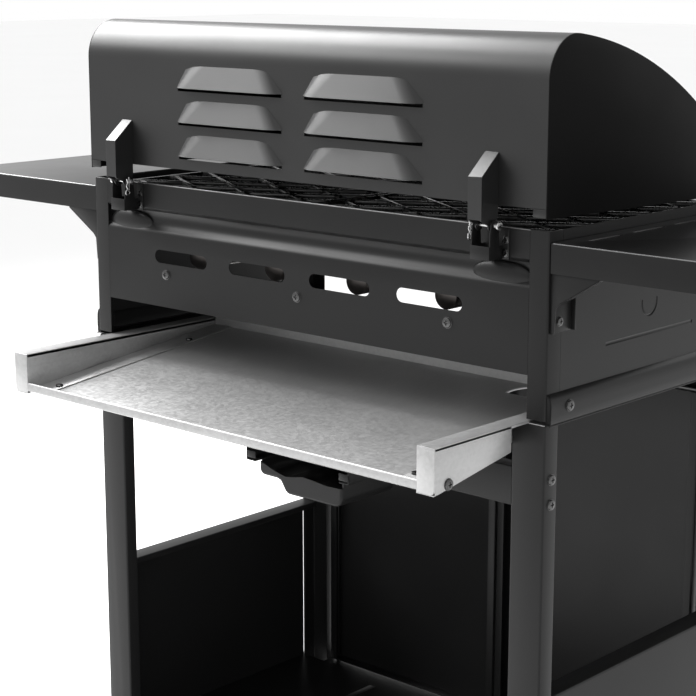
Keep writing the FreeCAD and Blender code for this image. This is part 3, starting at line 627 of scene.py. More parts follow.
class Tree:
    """A material's node tree with one Principled shader."""

    def __init__(self, name: str) -> None:
        """Start a material with an empty tree and its shader."""
        self.material = bpy.data.materials.new(name)
        self.material.use_nodes = True
        self.nodes = self.material.node_tree.nodes
        self.links = self.material.node_tree.links
        self.nodes.clear()
        self.shader = self.nodes.new("ShaderNodeBsdfPrincipled")
        output = self.nodes.new("ShaderNodeOutputMaterial")
        self.links.new(self.shader.outputs[0], output.inputs[0])
        coordinates = self.nodes.new("ShaderNodeTexCoord")
        self.place = coordinates.outputs["Object"]

    def add(self, kind: str, settings: dict[str, object], sockets: dict[object, object],
            output: object) -> bpy.types.NodeSocket:
        """Any node: its settings first, then the values or links of its sockets.

        Args:
            kind: The node's type.
            settings: Properties of the node, such as a Math node's operation.
            sockets: Values, sockets or Values by input name or number.
            output: The wanted output's name or number.

        Returns:
            That output socket.
        """
        node = self.nodes.new(kind)
        for key, value in settings.items():
            setattr(node, key, value)
        for key, value in sockets.items():
            self.feed(node.inputs[key], value)
        return node.outputs[output]

    def feed(self, socket: bpy.types.NodeSocket, value: object) -> None:
        """Link or set one input.

        Args:
            socket: The input.
            value: A Value, an output socket, a colour or a number.
        """
        if isinstance(value, Value):
            self.links.new(value.socket, socket)
        elif isinstance(value, bpy.types.NodeSocket):
            self.links.new(value, socket)
        else:
            socket.default_value = value

    def noise(self, scale: float, detail: float = 3.0, stretch: Sequence[float] = (1, 1, 1)) -> Value:
        """Noise over the piece's own coordinates.

        Args:
            scale: The noise's scale, per metre.
            detail: How many octaves.
            stretch: How much the pattern is squeezed along each axis.

        Returns:
            The noise, from 0 to 1.
        """
        place = self.add("ShaderNodeMapping", {}, {"Vector": self.place, "Scale": stretch}, 0)
        return Value(self, self.add("ShaderNodeTexNoise", {},
                                    {"Vector": place, "Scale": scale, "Detail": detail, "Roughness": 0.55},
                                    0))

    def cells(self, scale: float) -> bpy.types.NodeSocket:
        """Flat random cells, as on hot-dip zinc.

        Args:
            scale: Cells per metre.

        Returns:
            Each cell's own colour.
        """
        return self.add("ShaderNodeTexVoronoi", {"feature": "F1"}, {"Vector": self.place, "Scale": scale,
                                                                    "Randomness": 1.0}, "Color")

    def blend(self, share: object, first: Sequence[float], second: Sequence[float]) -> bpy.types.NodeSocket:
        """A mix of two colours.

        Args:
            share: How much of the second colour, a Value or a number.
            first: The first colour.
            second: The second colour.

        Returns:
            The mixed colour.
        """
        return self.add("ShaderNodeMix", {"data_type": "RGBA"},
                        {0: share, 6: (*first, 1.0), 7: (*second, 1.0)}, 2)

    def range(self, value: object, low: float, high: float, to_low: float, to_high: float) -> Value:
        """A value moved from one range to another, clamped.

        Args:
            value: The value to map.
            low: Its low end.
            high: Its high end.
            to_low: What the low end becomes.
            to_high: What the high end becomes.

        Returns:
            The mapped value.
        """
        socket = self.add("ShaderNodeMapRange", {"clamp": True},
                          {0: value, 1: low, 2: high, 3: to_low, 4: to_high}, 0)
        return Value(self, socket)

    def dress(self, colour: object, roughness: object, metallic: float, specular: float, coat: float = 0.0,
              coat_roughness: float = 0.1) -> None:
        """Fill the shader's main sockets.

        Args:
            colour: Base colour.
            roughness: Roughness, a Value or a number.
            metallic: 0 or 1.
            specular: Specular level.
            coat: Weight of a clear coat.
            coat_roughness: Its roughness.
        """
        self.feed(self.shader.inputs["Base Color"], colour)
        self.feed(self.shader.inputs["Roughness"], roughness)
        self.shader.inputs["Metallic"].default_value = metallic
        self.shader.inputs["Specular IOR Level"].default_value = specular
        self.shader.inputs["Coat Weight"].default_value = coat
        self.shader.inputs["Coat Roughness"].default_value = coat_roughness

    def bump(self, height: object, strength: float, depth: float) -> None:
        """Let a height bend the shader's normal.

        Args:
            height: The height, a Value.
            strength: The Bump node's strength.
            depth: Its distance in metres.
        """
        normal = self.add("ShaderNodeBump", {}, {"Height": height, "Strength": strength, "Distance": depth},
                          0)
        self.links.new(normal, self.shader.inputs["Normal"])


@dataclass(frozen=True)
class PowderCoat:
    """Baked powder coat: fine orange peel, faint cloudy change of tone and gloss."""

    name: str
    tone: float = 0.014
    roughness: float = 0.36
    specular: float = 0.42
    peel: float = 0.10

    def make(self) -> Material:
        """The coat's material."""
        tree = Tree(self.name)
        cloud = tree.noise(7.0, 4.0)
        speck = tree.noise(420.0, 2.0)
        low = (self.tone * 0.8, self.tone * 0.8, self.tone * 0.82)
        high = (self.tone * 1.25, self.tone * 1.25, self.tone * 1.25)
        tree.dress(tree.blend(cloud * 0.7 + speck * 0.3, low, high),
                   tree.range(cloud, 0.3, 0.7, self.roughness - 0.03, self.roughness + 0.04), 0.0,
                   self.specular)
        tree.bump(tree.noise(650.0, 2.0) * 0.7 + tree.noise(2200.0, 1.0) * 0.3, self.peel, 0.0003)
        return tree.material


@dataclass(frozen=True)
class Galvanised:
    """Zinc-coated sheet with a fine spangle and rolling streaks."""

    name: str
    dark: float = 0.34
    bright: float = 0.44
    roughness: float = 0.36

    def make(self) -> Material:
        """The sheet's material."""
        tree = Tree(self.name)
        grain = tree.add("ShaderNodeSeparateColor", {}, {0: tree.cells(260.0)}, 0)
        spangle = Value(tree, grain)
        streak = tree.noise(30.0, 3.0, (8.0, 1.0, 8.0))
        cloud = tree.noise(9.0, 4.0)
        mix = spangle * 0.2 + streak * 0.3 + cloud * 0.5
        tree.dress(tree.blend(tree.range(mix, 0.25, 0.75, 0.0, 1.0), (self.dark,) * 3, (self.bright,) * 3),
                   tree.range(spangle * 0.5 + cloud * 0.5, 0.2, 0.8, self.roughness - 0.05,
                              self.roughness + 0.08), 0.5, 0.5)
        tree.bump(tree.noise(900.0, 2.0) * 0.6 + spangle * 0.4, 0.03, 0.0002)
        return tree.material


@dataclass(frozen=True)
class BrightMetal:
    """Drawn, plated or brushed metal with fine lines along one axis."""

    name: str
    colour: tuple[float, float, float] = (0.62, 0.62, 0.62)
    roughness: float = 0.24
    lines: tuple[float, float, float] = (1.0, 1.0, 1.0)

    def make(self) -> Material:
        """The metal's material."""
        tree = Tree(self.name)
        line = tree.noise(600.0, 2.0, self.lines)
        stain = tree.noise(25.0, 4.0)
        dim = tuple(channel * 0.72 for channel in self.colour)
        tree.dress(tree.blend(tree.range(stain * 0.6 + line * 0.4, 0.3, 0.7, 0.0, 1.0), dim, self.colour),
                   tree.range(line, 0.3, 0.7, self.roughness - 0.06, self.roughness + 0.1), 1.0, 0.5)
        tree.bump(line, 0.08, 0.0002)
        return tree.material


@dataclass(frozen=True)
class CastEnamel:
    """Porcelain enamel over cast iron: glossy, with a soft sand-cast swell."""

    name: str
    tone: float = 0.016

    def make(self) -> Material:
        """The enamel's material."""
        tree = Tree(self.name)
        swell = tree.noise(60.0, 3.0)
        spot = tree.noise(900.0, 2.0)
        tree.dress(tree.blend(spot, (self.tone * 0.7,) * 3, (self.tone * 1.6,) * 3),
                   tree.range(swell, 0.3, 0.7, 0.2, 0.34), 0.0, 0.5, 0.4, 0.12)
        tree.bump(swell * 0.8 + spot * 0.2, 0.1, 0.0004)
        return tree.material


@dataclass(frozen=True)
class Moulded:
    """Moulded plastic or rubber with a fine leathery grain."""

    name: str
    tone: float = 0.02
    roughness: float = 0.5
    grain: float = 0.2

    def make(self) -> Material:
        """The moulding's material."""
        tree = Tree(self.name)
        grain = tree.noise(1400.0, 2.0)
        dust = tree.noise(14.0, 5.0)
        tree.dress(tree.blend(dust, (self.tone,) * 3, (self.tone * 1.6,) * 3),
                   tree.range(dust, 0.3, 0.7, self.roughness - 0.05, self.roughness + 0.1), 0.0, 0.4)
        tree.bump(grain, self.grain, 0.0003)
        return tree.material


class Finishes:
    """All the finishes of the grill, each made once."""

    def __init__(self) -> None:
        """Make every material and remember which slot it stands for."""
        self.coat = (PowderCoat("coat_black", 0.007, 0.34, 0.2).make(), Slot.COAT)
        self.lid_coat = (PowderCoat("coat_lid", 0.0075, 0.37, 0.36, 0.08).make(), Slot.COAT)
        self.panel_coat = (PowderCoat("coat_panel", 0.010, 0.40, 0.18, 0.12).make(), Slot.COAT)
        self.gloss_coat = (PowderCoat("coat_gloss", 0.010, 0.3, 0.42, 0.08).make(), Slot.COAT)
        # The rim coat is a much lighter, glossier black for thin beads laid along rolled edges. Its tone
        # paints the bright highlight lines that those edges catch.
        self.highlight_rim_coat = (PowderCoat("coat_rim_painted_highlight", 0.08, 0.26, 1.0, 0.05).make(), Slot.COAT)
        self.matt_coat = (PowderCoat("coat_matt", 0.003, 0.55, 0.06, 0.06).make(), Slot.COAT)
        self.sheet = (Galvanised("zinc_sheet").make(), Slot.GALVANISED)
        self.plated = (BrightMetal("plated_steel", (0.55, 0.55, 0.55), 0.22).make(), Slot.ZINC)
        self.dark_plated = (BrightMetal("blackened_screw", (0.10, 0.10, 0.10), 0.2).make(), Slot.ZINC)
        self.enamel = (CastEnamel("grate_enamel").make(), Slot.IRON)
        self.tube = (BrightMetal("burner_tube", (0.12, 0.11, 0.105), 0.34, (10.0, 1.0, 10.0)).make(),
                     Slot.TUBE)
        self.brass = (BrightMetal("valve_brass", (0.70, 0.50, 0.22), 0.26).make(), Slot.BRASS)
        self.plastic = (Moulded("knob_plastic", 0.018, 0.42, 0.12).make(), Slot.PLASTIC)
        self.rubber = (Moulded("tyre_rubber_skin", 0.012, 0.62, 0.3).make(), Slot.TYRE)
        self.brushed = (BrightMetal("brushed_handle", (0.58, 0.58, 0.57), 0.3, (0.4, 9.0, 9.0)).make(),
                        Slot.DIAL)
        self.dial = (Moulded("dial_face", 0.5, 0.5, 0.02).make(), Slot.DIAL)


class Shop:
    """Hands finished pieces over: finish, CAD body, and the CAD node each stands for."""

    def __init__(self, finishes: Finishes) -> None:
        """Keep the finishes and start the count."""
        self.finishes = finishes
        self.count = 0

    def hand_over(self, piece: Object, finish: tuple[Material, Slot], body: str, *nodes: str) -> None:
        """Dress a piece and let it ride.

        Args:
            piece: The finished mesh.
            finish: A material and its record slot.
            body: The CAD body that it moves with.
            nodes: The CAD nodes that it stands for.
        """
        piece.data.materials.clear()
        piece.data.materials.append(finish[0])
        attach(piece, body)
        if nodes:
            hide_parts(*nodes)
        self.count += 1
        LOG.info("%s rides on %s, %d faces", piece.name, body, len(piece.data.polygons))


@dataclass
class Assembly:
    """What every sub-assembly shares: the shop and the CAD body that it mostly rides on."""

    shop: Shop
    body: str = "cart"

    @property
    def looks(self) -> Finishes:
        """The grill's finishes."""
        return self.shop.finishes

    def give(self, piece: Object, finish: tuple[Material, Slot], *nodes: str, body: str = "") -> None:
        """Hand a piece over, on the sub-assembly's own body unless another is named."""
        self.shop.hand_over(piece, finish, body or self.body, *nodes)


# Lid
@dataclass
class Lid(Assembly):
    """The lid: louvred wrap, end plates, handle and thermometer."""

    body: str = "lid"
    wall: float = 0.0015
    arc_radius: float = 0.544
    corner_radius: float = 0.047
    back: float = 0.18525
    centre_y: float = 0.19725
    centre_z: float = 0.583
    back_bottom: float = 0.943
    louvre_width: float = 0.185
    louvre_height: float = 0.027
    louvre_depth: float = 0.011
    louvre_shoulder: float = 0.74
    louvre_root: float = 0.78
    louvre_lip: float = 0.84
    louvre_round: float = 0.009
    louvre_columns: tuple[float, float] = (-0.108, 0.108)
    louvre_rows: tuple[float, float, float] = (0.9604, 1.0024, 1.0444)
    mouth: float = 0.0045
    arc_steps: int = 28
    corner_steps: int = 14
    handle_foot: float = 0.98
    bar_radius: float = 0.013
    cap_length: float = 0.014
    gauge_seat: float = 1.04
    gauge_radius: float = 0.031
    gauge_face: float = 0.0083

    def profile(self) -> list[tuple[float, float]]:
        """The lid's section from the foot of the back wall over the top to the front edge.

        Returns:
            Pairs of y and z.
        """
        back, radius, corner = self.back, self.arc_radius, self.corner_radius
        corner_y = back - corner
        corner_z = self.centre_z + math.sqrt((radius - corner) ** 2 - (corner_y - self.centre_y) ** 2)
        turn = math.degrees(math.atan2(corner_z - self.centre_z, corner_y - self.centre_y))
        front_y = Span.of("lid_shell").lo.y
        last = 180.0 - math.degrees(math.acos((self.centre_y - front_y) / radius))
        points = [(back, self.back_bottom)]
        points += arc((corner_y, corner_z), corner, 0.0, turn, self.corner_steps)
        points += arc((self.centre_y, self.centre_z), radius, turn, last, self.arc_steps)[1:]
        return points

    def front_face(self, height: float) -> float:
        """The depth y of the lid's front at a height."""
        return self.centre_y - math.sqrt(self.arc_radius ** 2 - (height - self.centre_z) ** 2)

    def build(self) -> None:
        """Model and hand over every piece of the lid."""
        self.wrap()
        self.louvres()
        self.tabs()
        self.ends()
        self.handle()
        self.thermometer()

    def wrap(self) -> None:
        """The sheet that runs from the back wall over the top to the front, with a slit under each louvre."""
        span = Span.of("lid_shell")
        wrap = BENCH.fold("lid_wrap", X, span.lo.x, span.size.x, self.profile(), self.wall,
                          (0, -0.05, self.centre_z + 0.3), 0.0, 0.0)
        slits = []
        half = self.louvre_width / 2 - 0.003
        for column in self.louvre_columns:
            for row in self.louvre_rows:
                slits.append(BENCH.box("slit", (column - half, self.back - 0.006, row - self.mouth),
                                       (column + half, self.back + 0.002, row + 0.0015), 0.0))
        BENCH.cut(wrap, slits)
        self.give(wrap, self.looks.lid_coat, "lid_shell")

    def louvres(self) -> None:
        """Six pressed hoods with rounded shoulders, open below."""
        column, row = self.louvre_columns[0], self.louvre_rows[0]
        middle = Vector((column, self.back + self.louvre_depth / 2 - 0.0005, row + self.louvre_height / 2))
        BENCH.only()
        bpy.ops.mesh.primitive_cube_add(size=1, location=middle)
        hood = bpy.context.object
        hood.scale = (self.louvre_width, self.louvre_depth + 0.001, self.louvre_height)
        BENCH.settle(hood, "louvre")
        out = self.back + self.louvre_depth - 0.001
        top = row + self.louvre_height - 0.001
        centre = (column, 0, 0)
        with BENCH.editing(hood):
            BENCH.pick(hood, Kind.VERTS, lambda spot: spot.y > out and spot.z > top)
            bpy.ops.transform.translate(value=(0, -self.louvre_depth, 0))
            bpy.ops.transform.resize(value=(self.louvre_shoulder, 1, 1), center_override=centre)
            BENCH.pick(hood, Kind.VERTS, lambda spot: spot.y > out and spot.z < row + 0.001)
            bpy.ops.transform.resize(value=(self.louvre_lip, 1, 1), center_override=centre)
            BENCH.pick(hood, Kind.VERTS, lambda spot: spot.y < self.back and spot.z > top)
            bpy.ops.transform.resize(value=(self.louvre_root, 1, 1), center_override=centre)
            BENCH.pick(hood, Kind.EDGES, lambda spot: spot.y > self.back + 0.003 and spot.z > row + 0.002)
            bpy.ops.mesh.bevel(offset=self.louvre_round, segments=6, profile=0.5, clamp_overlap=True)
            BENCH.pick(hood, Kind.FACES, lambda spot: spot.z < row + 0.0001 or spot.y < self.back - 0.0003)
            bpy.ops.mesh.delete(type="FACE")
            bpy.ops.mesh.select_all(action="SELECT")
            bpy.ops.mesh.remove_doubles(threshold=0.0002)
            bpy.ops.mesh.normals_make_consistent(inside=False)
        BENCH.thicken(hood, 0.0012, (column, self.back - 0.05, row - 0.02))
        BENCH.smooth(hood, 50.0)
        hoods = [hood]
        for there_x in self.louvre_columns:
            for there_z in self.louvre_rows:
                if (there_x, there_z) != (column, row):
                    hoods.append(BENCH.copy(hood, "louvre", (there_x - column, 0, there_z - row)))
        self.give(BENCH.join("lid_louvres", hoods), self.looks.lid_coat)

    def tabs(self) -> None:
        """Turned-down tabs at the two lower corners of the back wall."""
        span = Span.of("lid_end_right")
        tab = BENCH.box("lid_tabs", (span.lo.x - 0.017, self.back - self.wall, span.lo.z + 0.009),
                        (span.lo.x, self.back, self.back_bottom + 0.001), 0.0004)
        self.give(BENCH.pair("lid_tabs", tab), self.looks.lid_coat)

    def ends(self) -> None:
        """The two end plates, cut to the lid's section."""
        span = Span.of("lid_end_right")
        section = self.profile()
        section[0] = (self.back, span.lo.z + 0.008)
        plate = BENCH.plate("lid_end_plate_right", X, span.lo.x, span.size.x,
                            section + [(span.lo.y, span.lo.z)], 0.0005)
        self.give(plate, self.looks.matt_coat, "lid_end_right")
        left = BENCH.twin(plate, "lid_end_plate_left")
        self.give(left, self.looks.matt_coat, "lid_end_left")

    def handle(self) -> None:
        """A brushed bar between two black sockets on posts."""
        span = Span.of("lid_handle")
        radius, cap = self.bar_radius, self.cap_length
        centre_y, centre_z = span.lo.y + radius, span.hi.z - radius
        foot_y = self.front_face(self.handle_foot)
        bar = BENCH.rod("handle_bar", X, radius, (span.lo.x + 0.012, centre_y, centre_z),
                        span.size.x - 0.024, 0.002, 40)
        self.give(bar, self.looks.brushed, "lid_handle")
        fittings = []
        for side in SIDES:
            x = side * span.hi.x * 0.86
            top, foot = Vector((x, centre_y, centre_z)), Vector((x, foot_y, self.handle_foot))
            fittings.append(BENCH.lean_rod("post", 0.009, foot, top, 0.001))
            fittings.append(BENCH.lean_rod("collar", 0.013, foot, foot.lerp(top, 0.12), 0.0012))
            fittings.append(BENCH.rod("socket", X, radius + 0.0022, (x - cap, centre_y, centre_z),
                                      cap * 2, 0.001))
            near = span.hi.x - cap if side > 0 else span.lo.x
            fittings.append(BENCH.rod("cap", X, radius + 0.0004, (near, centre_y, centre_z), cap,
                                      0.003))
        self.give(BENCH.join("handle_fittings", fittings), self.looks.plastic)

    def thermometer(self) -> None:
        """A dial with a turned bezel, tick marks and a pointer."""
        seat_z, seat_y = self.gauge_seat, self.front_face(self.gauge_seat)
        seat = Vector((0, seat_y, seat_z))
        out = Vector((0, seat_y - self.centre_y, seat_z - self.centre_z)).normalized()
        up = Vector((0, -out.z, out.y)) * -1
        bezel = BENCH.lean_rod("gauge_bezel", self.gauge_radius, seat, seat + out * 0.0115, 0.0025, 48)
        well = BENCH.lean_rod("well", 0.0265, seat + out * 0.0085, seat + out * 0.02, 0.0, 48)
        BENCH.cut(bezel, [well])
        self.give(bezel, self.looks.brushed, "thermometer")
        face = BENCH.lean_rod("gauge_face", 0.0262, seat + out * self.gauge_face,
                              seat + out * (self.gauge_face + 0.0009), 0.0002, 48)
        self.give(face, self.looks.dial)
        marks = []
        for step in range(13):
            line = self.hand(up, -135 + step * 22.5)
            start = 0.0195 if step % 3 == 0 else 0.0215
            marks.append(BENCH.lean_rod("mark", 0.0006, seat + out * 0.0093 + line * start,
                                        seat + out * 0.0093 + line * 0.0245, 0.0, 6))
        line = self.hand(up, -120)
        marks.append(BENCH.lean_rod("pointer", 0.0007, seat + out * 0.0099 - line * 0.006,
                                    seat + out * 0.0099 + line * 0.019, 0.0002, 8))
        marks.append(BENCH.lean_rod("hub", 0.003, seat + out * 0.009, seat + out * 0.0108, 0.0004, 20))
        probe = BENCH.lean_rod("gauge_probe", 0.004, seat - out * 0.025, seat + out * 0.002, 0.0006, 20)
        self.give(BENCH.join("gauge_marks", marks), self.looks.plastic)
        self.give(probe, self.looks.plated)

    def hand(self, up: Vector, degrees: float) -> Vector:
        """Where a hand of the dial points that has turned this far from the top."""
        turn = math.radians(degrees)
        return up * math.cos(turn) + X.value[0] * math.sin(turn)


@dataclass
class LidHinges(Assembly):
    """Brackets on the lid, bases on the firebox, clevis pins and hairpin clips."""

    wall: float = 0.0015
    bracket_half: float = 0.0092
    top: float = 0.9993
    shoulder: float = 0.9746
    low: float = 0.928
    pin_y: float = 0.19495
    pin_z: float = 0.922
    back: float = 0.18525
    out: float = 0.21425

    def build(self) -> None:
        """Model both hinges and their pins."""
        for side, name in HANDS:
            self.bracket(side, name)
            self.base(name)
        self.pins()
        self.clips()

    def bracket(self, side: int, name: str) -> None:
        """A folded hood with rounded cheeks that reach down over the pin.

        Args:
            side: 1 or -1.
            name: right or left.
        """
        x = side * Span.of("lid_hinge_right").mid.x
        half, wall = self.bracket_half, self.wall
        cheek = [(self.back, self.top), (self.out, self.shoulder), (self.out, self.low)]
        cheek += arc((self.pin_y, self.pin_z), 0.007, 0.0, -180.0, 10)
        cheek += [(self.back, self.pin_z + 0.008)]
        outer = BENCH.plate("bracket", X, x - half, half * 2, cheek, 0.0)
        hollow = [(self.back - 0.002, self.top - wall * 2.4), (self.out - wall, self.shoulder - wall * 0.6),
                  (self.out - wall, self.low + wall), (self.out + 0.002, self.low),
                  (self.out + 0.002, 0.905), (self.back - 0.002, 0.905)]
        BENCH.cut(outer, [BENCH.plate("hollow", X, x - half + wall, half * 2 - wall * 2, hollow, 0.0)])
        BENCH.drill(outer, X, 0.0031, 0.04, [(x - 0.02, self.pin_y, self.pin_z)])
        BENCH.soften(outer, 0.0005, 2, 35.0)
        outer.name = "hinge_bracket_" + name
        self.give(BENCH.smooth(outer), self.looks.gloss_coat, "lid_hinge_" + name, body="lid")

    def base(self, name: str) -> None:
        """A boxed base with two cheeks for the pin and a flange screwed to the firebox.

        Args:
            name: right or left.
        """
        span = Span.of("hinge_base_" + name)
        wall = self.wall
        flange_x, x0, x1 = span.lo.x, span.lo.x + 0.009, span.hi.x
        low, high = span.lo.z, 0.9
        parts = [BENCH.box("face", (x0, span.hi.y - wall, low), (x1, span.hi.y, high), 0.0004)]
        outline = [(span.lo.y, low), (span.hi.y - wall, low), (span.hi.y - wall, high),
                   (span.hi.y - wall, 0.912)]
        outline += arc((self.pin_y, self.pin_z), 0.0063, 0.0, 180.0, 10)
        outline += [(self.pin_y - 0.008, high), (span.lo.y, high)]
        for start in (x0, x1 - wall):
            parts.append(BENCH.plate("cheek", X, start, wall, outline, 0.0003))
        parts.append(BENCH.box("flange", (flange_x, span.lo.y, low), (x0 + wall, span.lo.y + wall, 0.9185),
                               0.0005))
        base = BENCH.join("hinge_mount_" + name, parts)
        self.give(base, self.looks.coat, "hinge_base_" + name)

    def pins(self) -> None:
        """Clevis pins with a turned head on the outer side."""
        span = Span.of("hinge_pins")
        reach = 0.0385
        start = span.hi.x - reach
        pin = BENCH.rod("pin", X, 0.003, (start, self.pin_y, self.pin_z), reach, 0.0006, 24)
        head = BENCH.rod("head", X, 0.005, (span.hi.x - 0.003, self.pin_y, self.pin_z), 0.003, 0.0009,
                         32)
        one = BENCH.join("pin", [pin, head])
        self.give(BENCH.pair("clevis_pins", one), self.looks.plated, "hinge_pins")

    def clips(self) -> None:
        """Hairpin clips: a straight leg through the pin and a looped spring leg."""
        span = Span.of("pin_clips")
        x = span.hi.x - 0.0008
        y, top, low = span.hi.y, self.pin_z + 0.006, self.pin_z - 0.018
        loop = [(y - 0.001, top), (y - 0.001, low + 0.006)]
        loop += arc((y + 0.0012, low + 0.0045), 0.0032, 160.0, 400.0, 12)
        loop += [(y + 0.0012, low + 0.009), (y + 0.0032, low + 0.013), (y + 0.001, low + 0.017),
                 (y + 0.0026, top - 0.002)]
        one = BENCH.wire("clip", X.lay(x, loop), 0.0008)
        self.give(BENCH.pair("hairpin_clips", one), self.looks.plated, "pin_clips")


# Firebox
@dataclass
class Firebox(Assembly):
    """Back panel, sides, front, posts, burners, heat plates and grates."""

    wall: float = 0.0012
    groove_top: float = 0.8864
    groove_low: float = 0.8593
    groove_deep: float = 0.008
    post_wall: float = 0.0015
    post_width: float = 0.025
    slot_length: float = 0.096
    slot_height: float = 0.017
    slot_z: float = 0.8278
    ledge_width: float = 0.0398
    ledge_low: float = 0.9028
    tube_radius: float = 0.016
    tube_length: float = 0.37
    port_pitch: float = 0.0135
    grate_rim: float = 0.009
    lattice_bar: float = 0.0065
    lattice_pitch: float = 0.098
    lattice_slope: float = 0.62

    def build(self) -> None:
        """Model and hand over every piece of the firebox."""
        self.back_panel()
        self.end_pads()
        self.sides()
        self.front_panel()
        self.posts()
        self.burners()
        self.heat_plates()
        self.grates()

    def slot_outline(self, x: float, z: float, length: float, height: float) -> list[tuple[float, float]]:
        """A round-ended slot.

        Args:
            x: Its middle.
            z: Its middle's height.
            length: Its whole length.
            height: Its height.

        Returns:
            Pairs of x and z.
        """
        flat = (length - height) / 2
        return (arc((x + flat, z), height / 2, -90.0, 90.0, 8)
                + arc((x - flat, z), height / 2, 90.0, 270.0, 8))

    def back_panel(self) -> None:
        """The folded band with its rolled top, the pressed groove and the skirt with four slots."""
        span = Span.of("firebox_rear")
        y, deep = span.hi.y, self.groove_deep
        top, low = self.groove_top, self.groove_low
        section = [(y, span.lo.z), (y, low - 0.004), (y - 0.0006, low - 0.001)]
        section += [(y - deep * share, low + (top - low) * height)
                    for share, height in ((0.30, 0.06), (0.62, 0.18), (0.86, 0.33), (0.98, 0.48),
                                          (1.0, 0.6), (0.95, 0.76), (0.7, 0.9), (0.3, 0.98))]
        section += [(y, top + 0.002), (y, span.hi.z - 0.0022)]
        section += arc((y - 0.0022, span.hi.z - 0.0022), 0.0022, 15.0, 90.0, 4)
        section += [(y - 0.006, span.hi.z)]
        panel = BENCH.fold("firebox_back", X, span.lo.x, span.size.x, section, self.wall, (0, 0, 0.8),
                           0.0, 0.0)
        slots = [BENCH.plate("slot", Y, y - 0.004, 0.01,
                             self.slot_outline(x, self.slot_z, self.slot_length, self.slot_height), 0.0)
                 for x in BURNER_COLUMNS]
        BENCH.cut(panel, slots)
        self.give(BENCH.smooth(panel, 28.0), self.looks.coat, "firebox_rear")
        # A thin bead in the rim coat along the rolled top paints the bright highlight line of that edge.
        hem = BENCH.rod("back_hem_highlight", X, 0.0009, (span.lo.x, y - 0.0012, span.hi.z - 0.0009),
                        span.size.x, 0.0)
        self.give(hem, self.looks.highlight_rim_coat)

    def end_pads(self) -> None:
        """Pressed pads that close the groove below each hinge."""
        span = Span.of("firebox_rear")
        pads = []
        for side in SIDES:
            BENCH.only()
            bpy.ops.mesh.primitive_uv_sphere_add(segments=40, ring_count=20, radius=1.0,
                                                 location=(side * 0.302, span.hi.y - 0.0066,
                                                           self.groove_low + 0.008))
            pad = bpy.context.object
            pad.scale = (0.040, 0.0064, 0.0150)
            BENCH.settle(pad, "pad")
            with BENCH.editing(pad):
                bpy.ops.mesh.select_all(action="SELECT")
                bpy.ops.mesh.bisect(plane_co=(0, span.hi.y - 0.007, 0), plane_no=(0, 1, 0),
                                    clear_inner=True, use_fill=True)
                bpy.ops.mesh.normals_make_consistent(inside=False)
            pads.append(BENCH.smooth(pad, 60.0))
        self.give(BENCH.join("groove_end_pads", pads), self.looks.coat)

    def sides(self) -> None:
        """Side walls with a ledge for the grates, a pressed line and a half-round knock-out."""
        for side, name in HANDS:
            span = Span.of("firebox_side_" + name)
            outer = span.hi.x if side > 0 else span.lo.x
            inner = outer - side * self.wall
            wall = BENCH.box("firebox_wall_" + name, (outer, span.lo.y, span.lo.z),
                             (inner, span.hi.y, span.hi.z), 0.0)
            groove = BENCH.rod("groove", Y, 0.0034, (outer + side * 0.0026, -0.1075, 0.783), 0.178,
                               0.0)
            loop = BENCH.wire("loop",
                              [(outer + side * 0.0012, *pair)
                               for pair in [(0.0, 0.823)] + arc((-0.015, 0.8185), 0.015, 0.0, -180.0, 14)
                               + [(-0.03, 0.823)]], 0.002)
            BENCH.cut(wall, [groove])
            BENCH.cut(wall, [loop])
            ledge = BENCH.box("ledge", (inner, span.lo.y, self.ledge_low),
                              (inner - side * self.ledge_width, span.hi.y, self.ledge_low + self.wall),
                              0.0003)
            # A thin bead in the rim coat along the top edge paints that edge's bright highlight line.
            hem = BENCH.rod("firebox_hem_highlight_" + name, Y, 0.0012,
                            (outer - side * 0.0012, span.lo.y, span.hi.z - 0.0012), span.size.y, 0.0)
            self.give(hem, self.looks.highlight_rim_coat)
            piece = BENCH.join("firebox_wall_" + name, [wall, ledge])
            self.give(BENCH.smooth(piece), self.looks.coat, "firebox_side_" + name)

    def front_panel(self) -> None:
        """The front wall behind the fascia, with round openings for the burner mouths."""
        span = Span.of("firebox_front")
        wall = BENCH.box("firebox_front_wall", span.lo, (span.hi.x, span.lo.y + self.wall, span.hi.z), 0.0)
        holes = [BENCH.rod("hole", Y, 0.010, (x, span.lo.y - 0.002, self.slot_z), 0.01, 0.0)
                 for x in BURNER_COLUMNS]
        BENCH.cut(wall, holes)
        self.give(BENCH.soften(wall, 0.0003, 1), self.looks.coat, "firebox_front")

    def posts(self) -> None:
        """Four folded angles at the firebox corners."""
        span = Span.of("corner_posts")
        width = self.post_width
        posts = []
        for end, y in ((1, span.hi.y), (-1, span.lo.y)):
            section = [(span.hi.x - width, y), (span.hi.x, y), (span.hi.x, y - end * width)]
            post = BENCH.fold("post", Z, span.lo.z, span.size.z, section, self.post_wall,
                              (0, 0, (span.lo.z + span.hi.z) / 2), 0.0022)
            posts += [post, BENCH.twin(post, "post_left")]
        self.give(BENCH.join("firebox_posts", posts), self.looks.coat, "corner_posts")

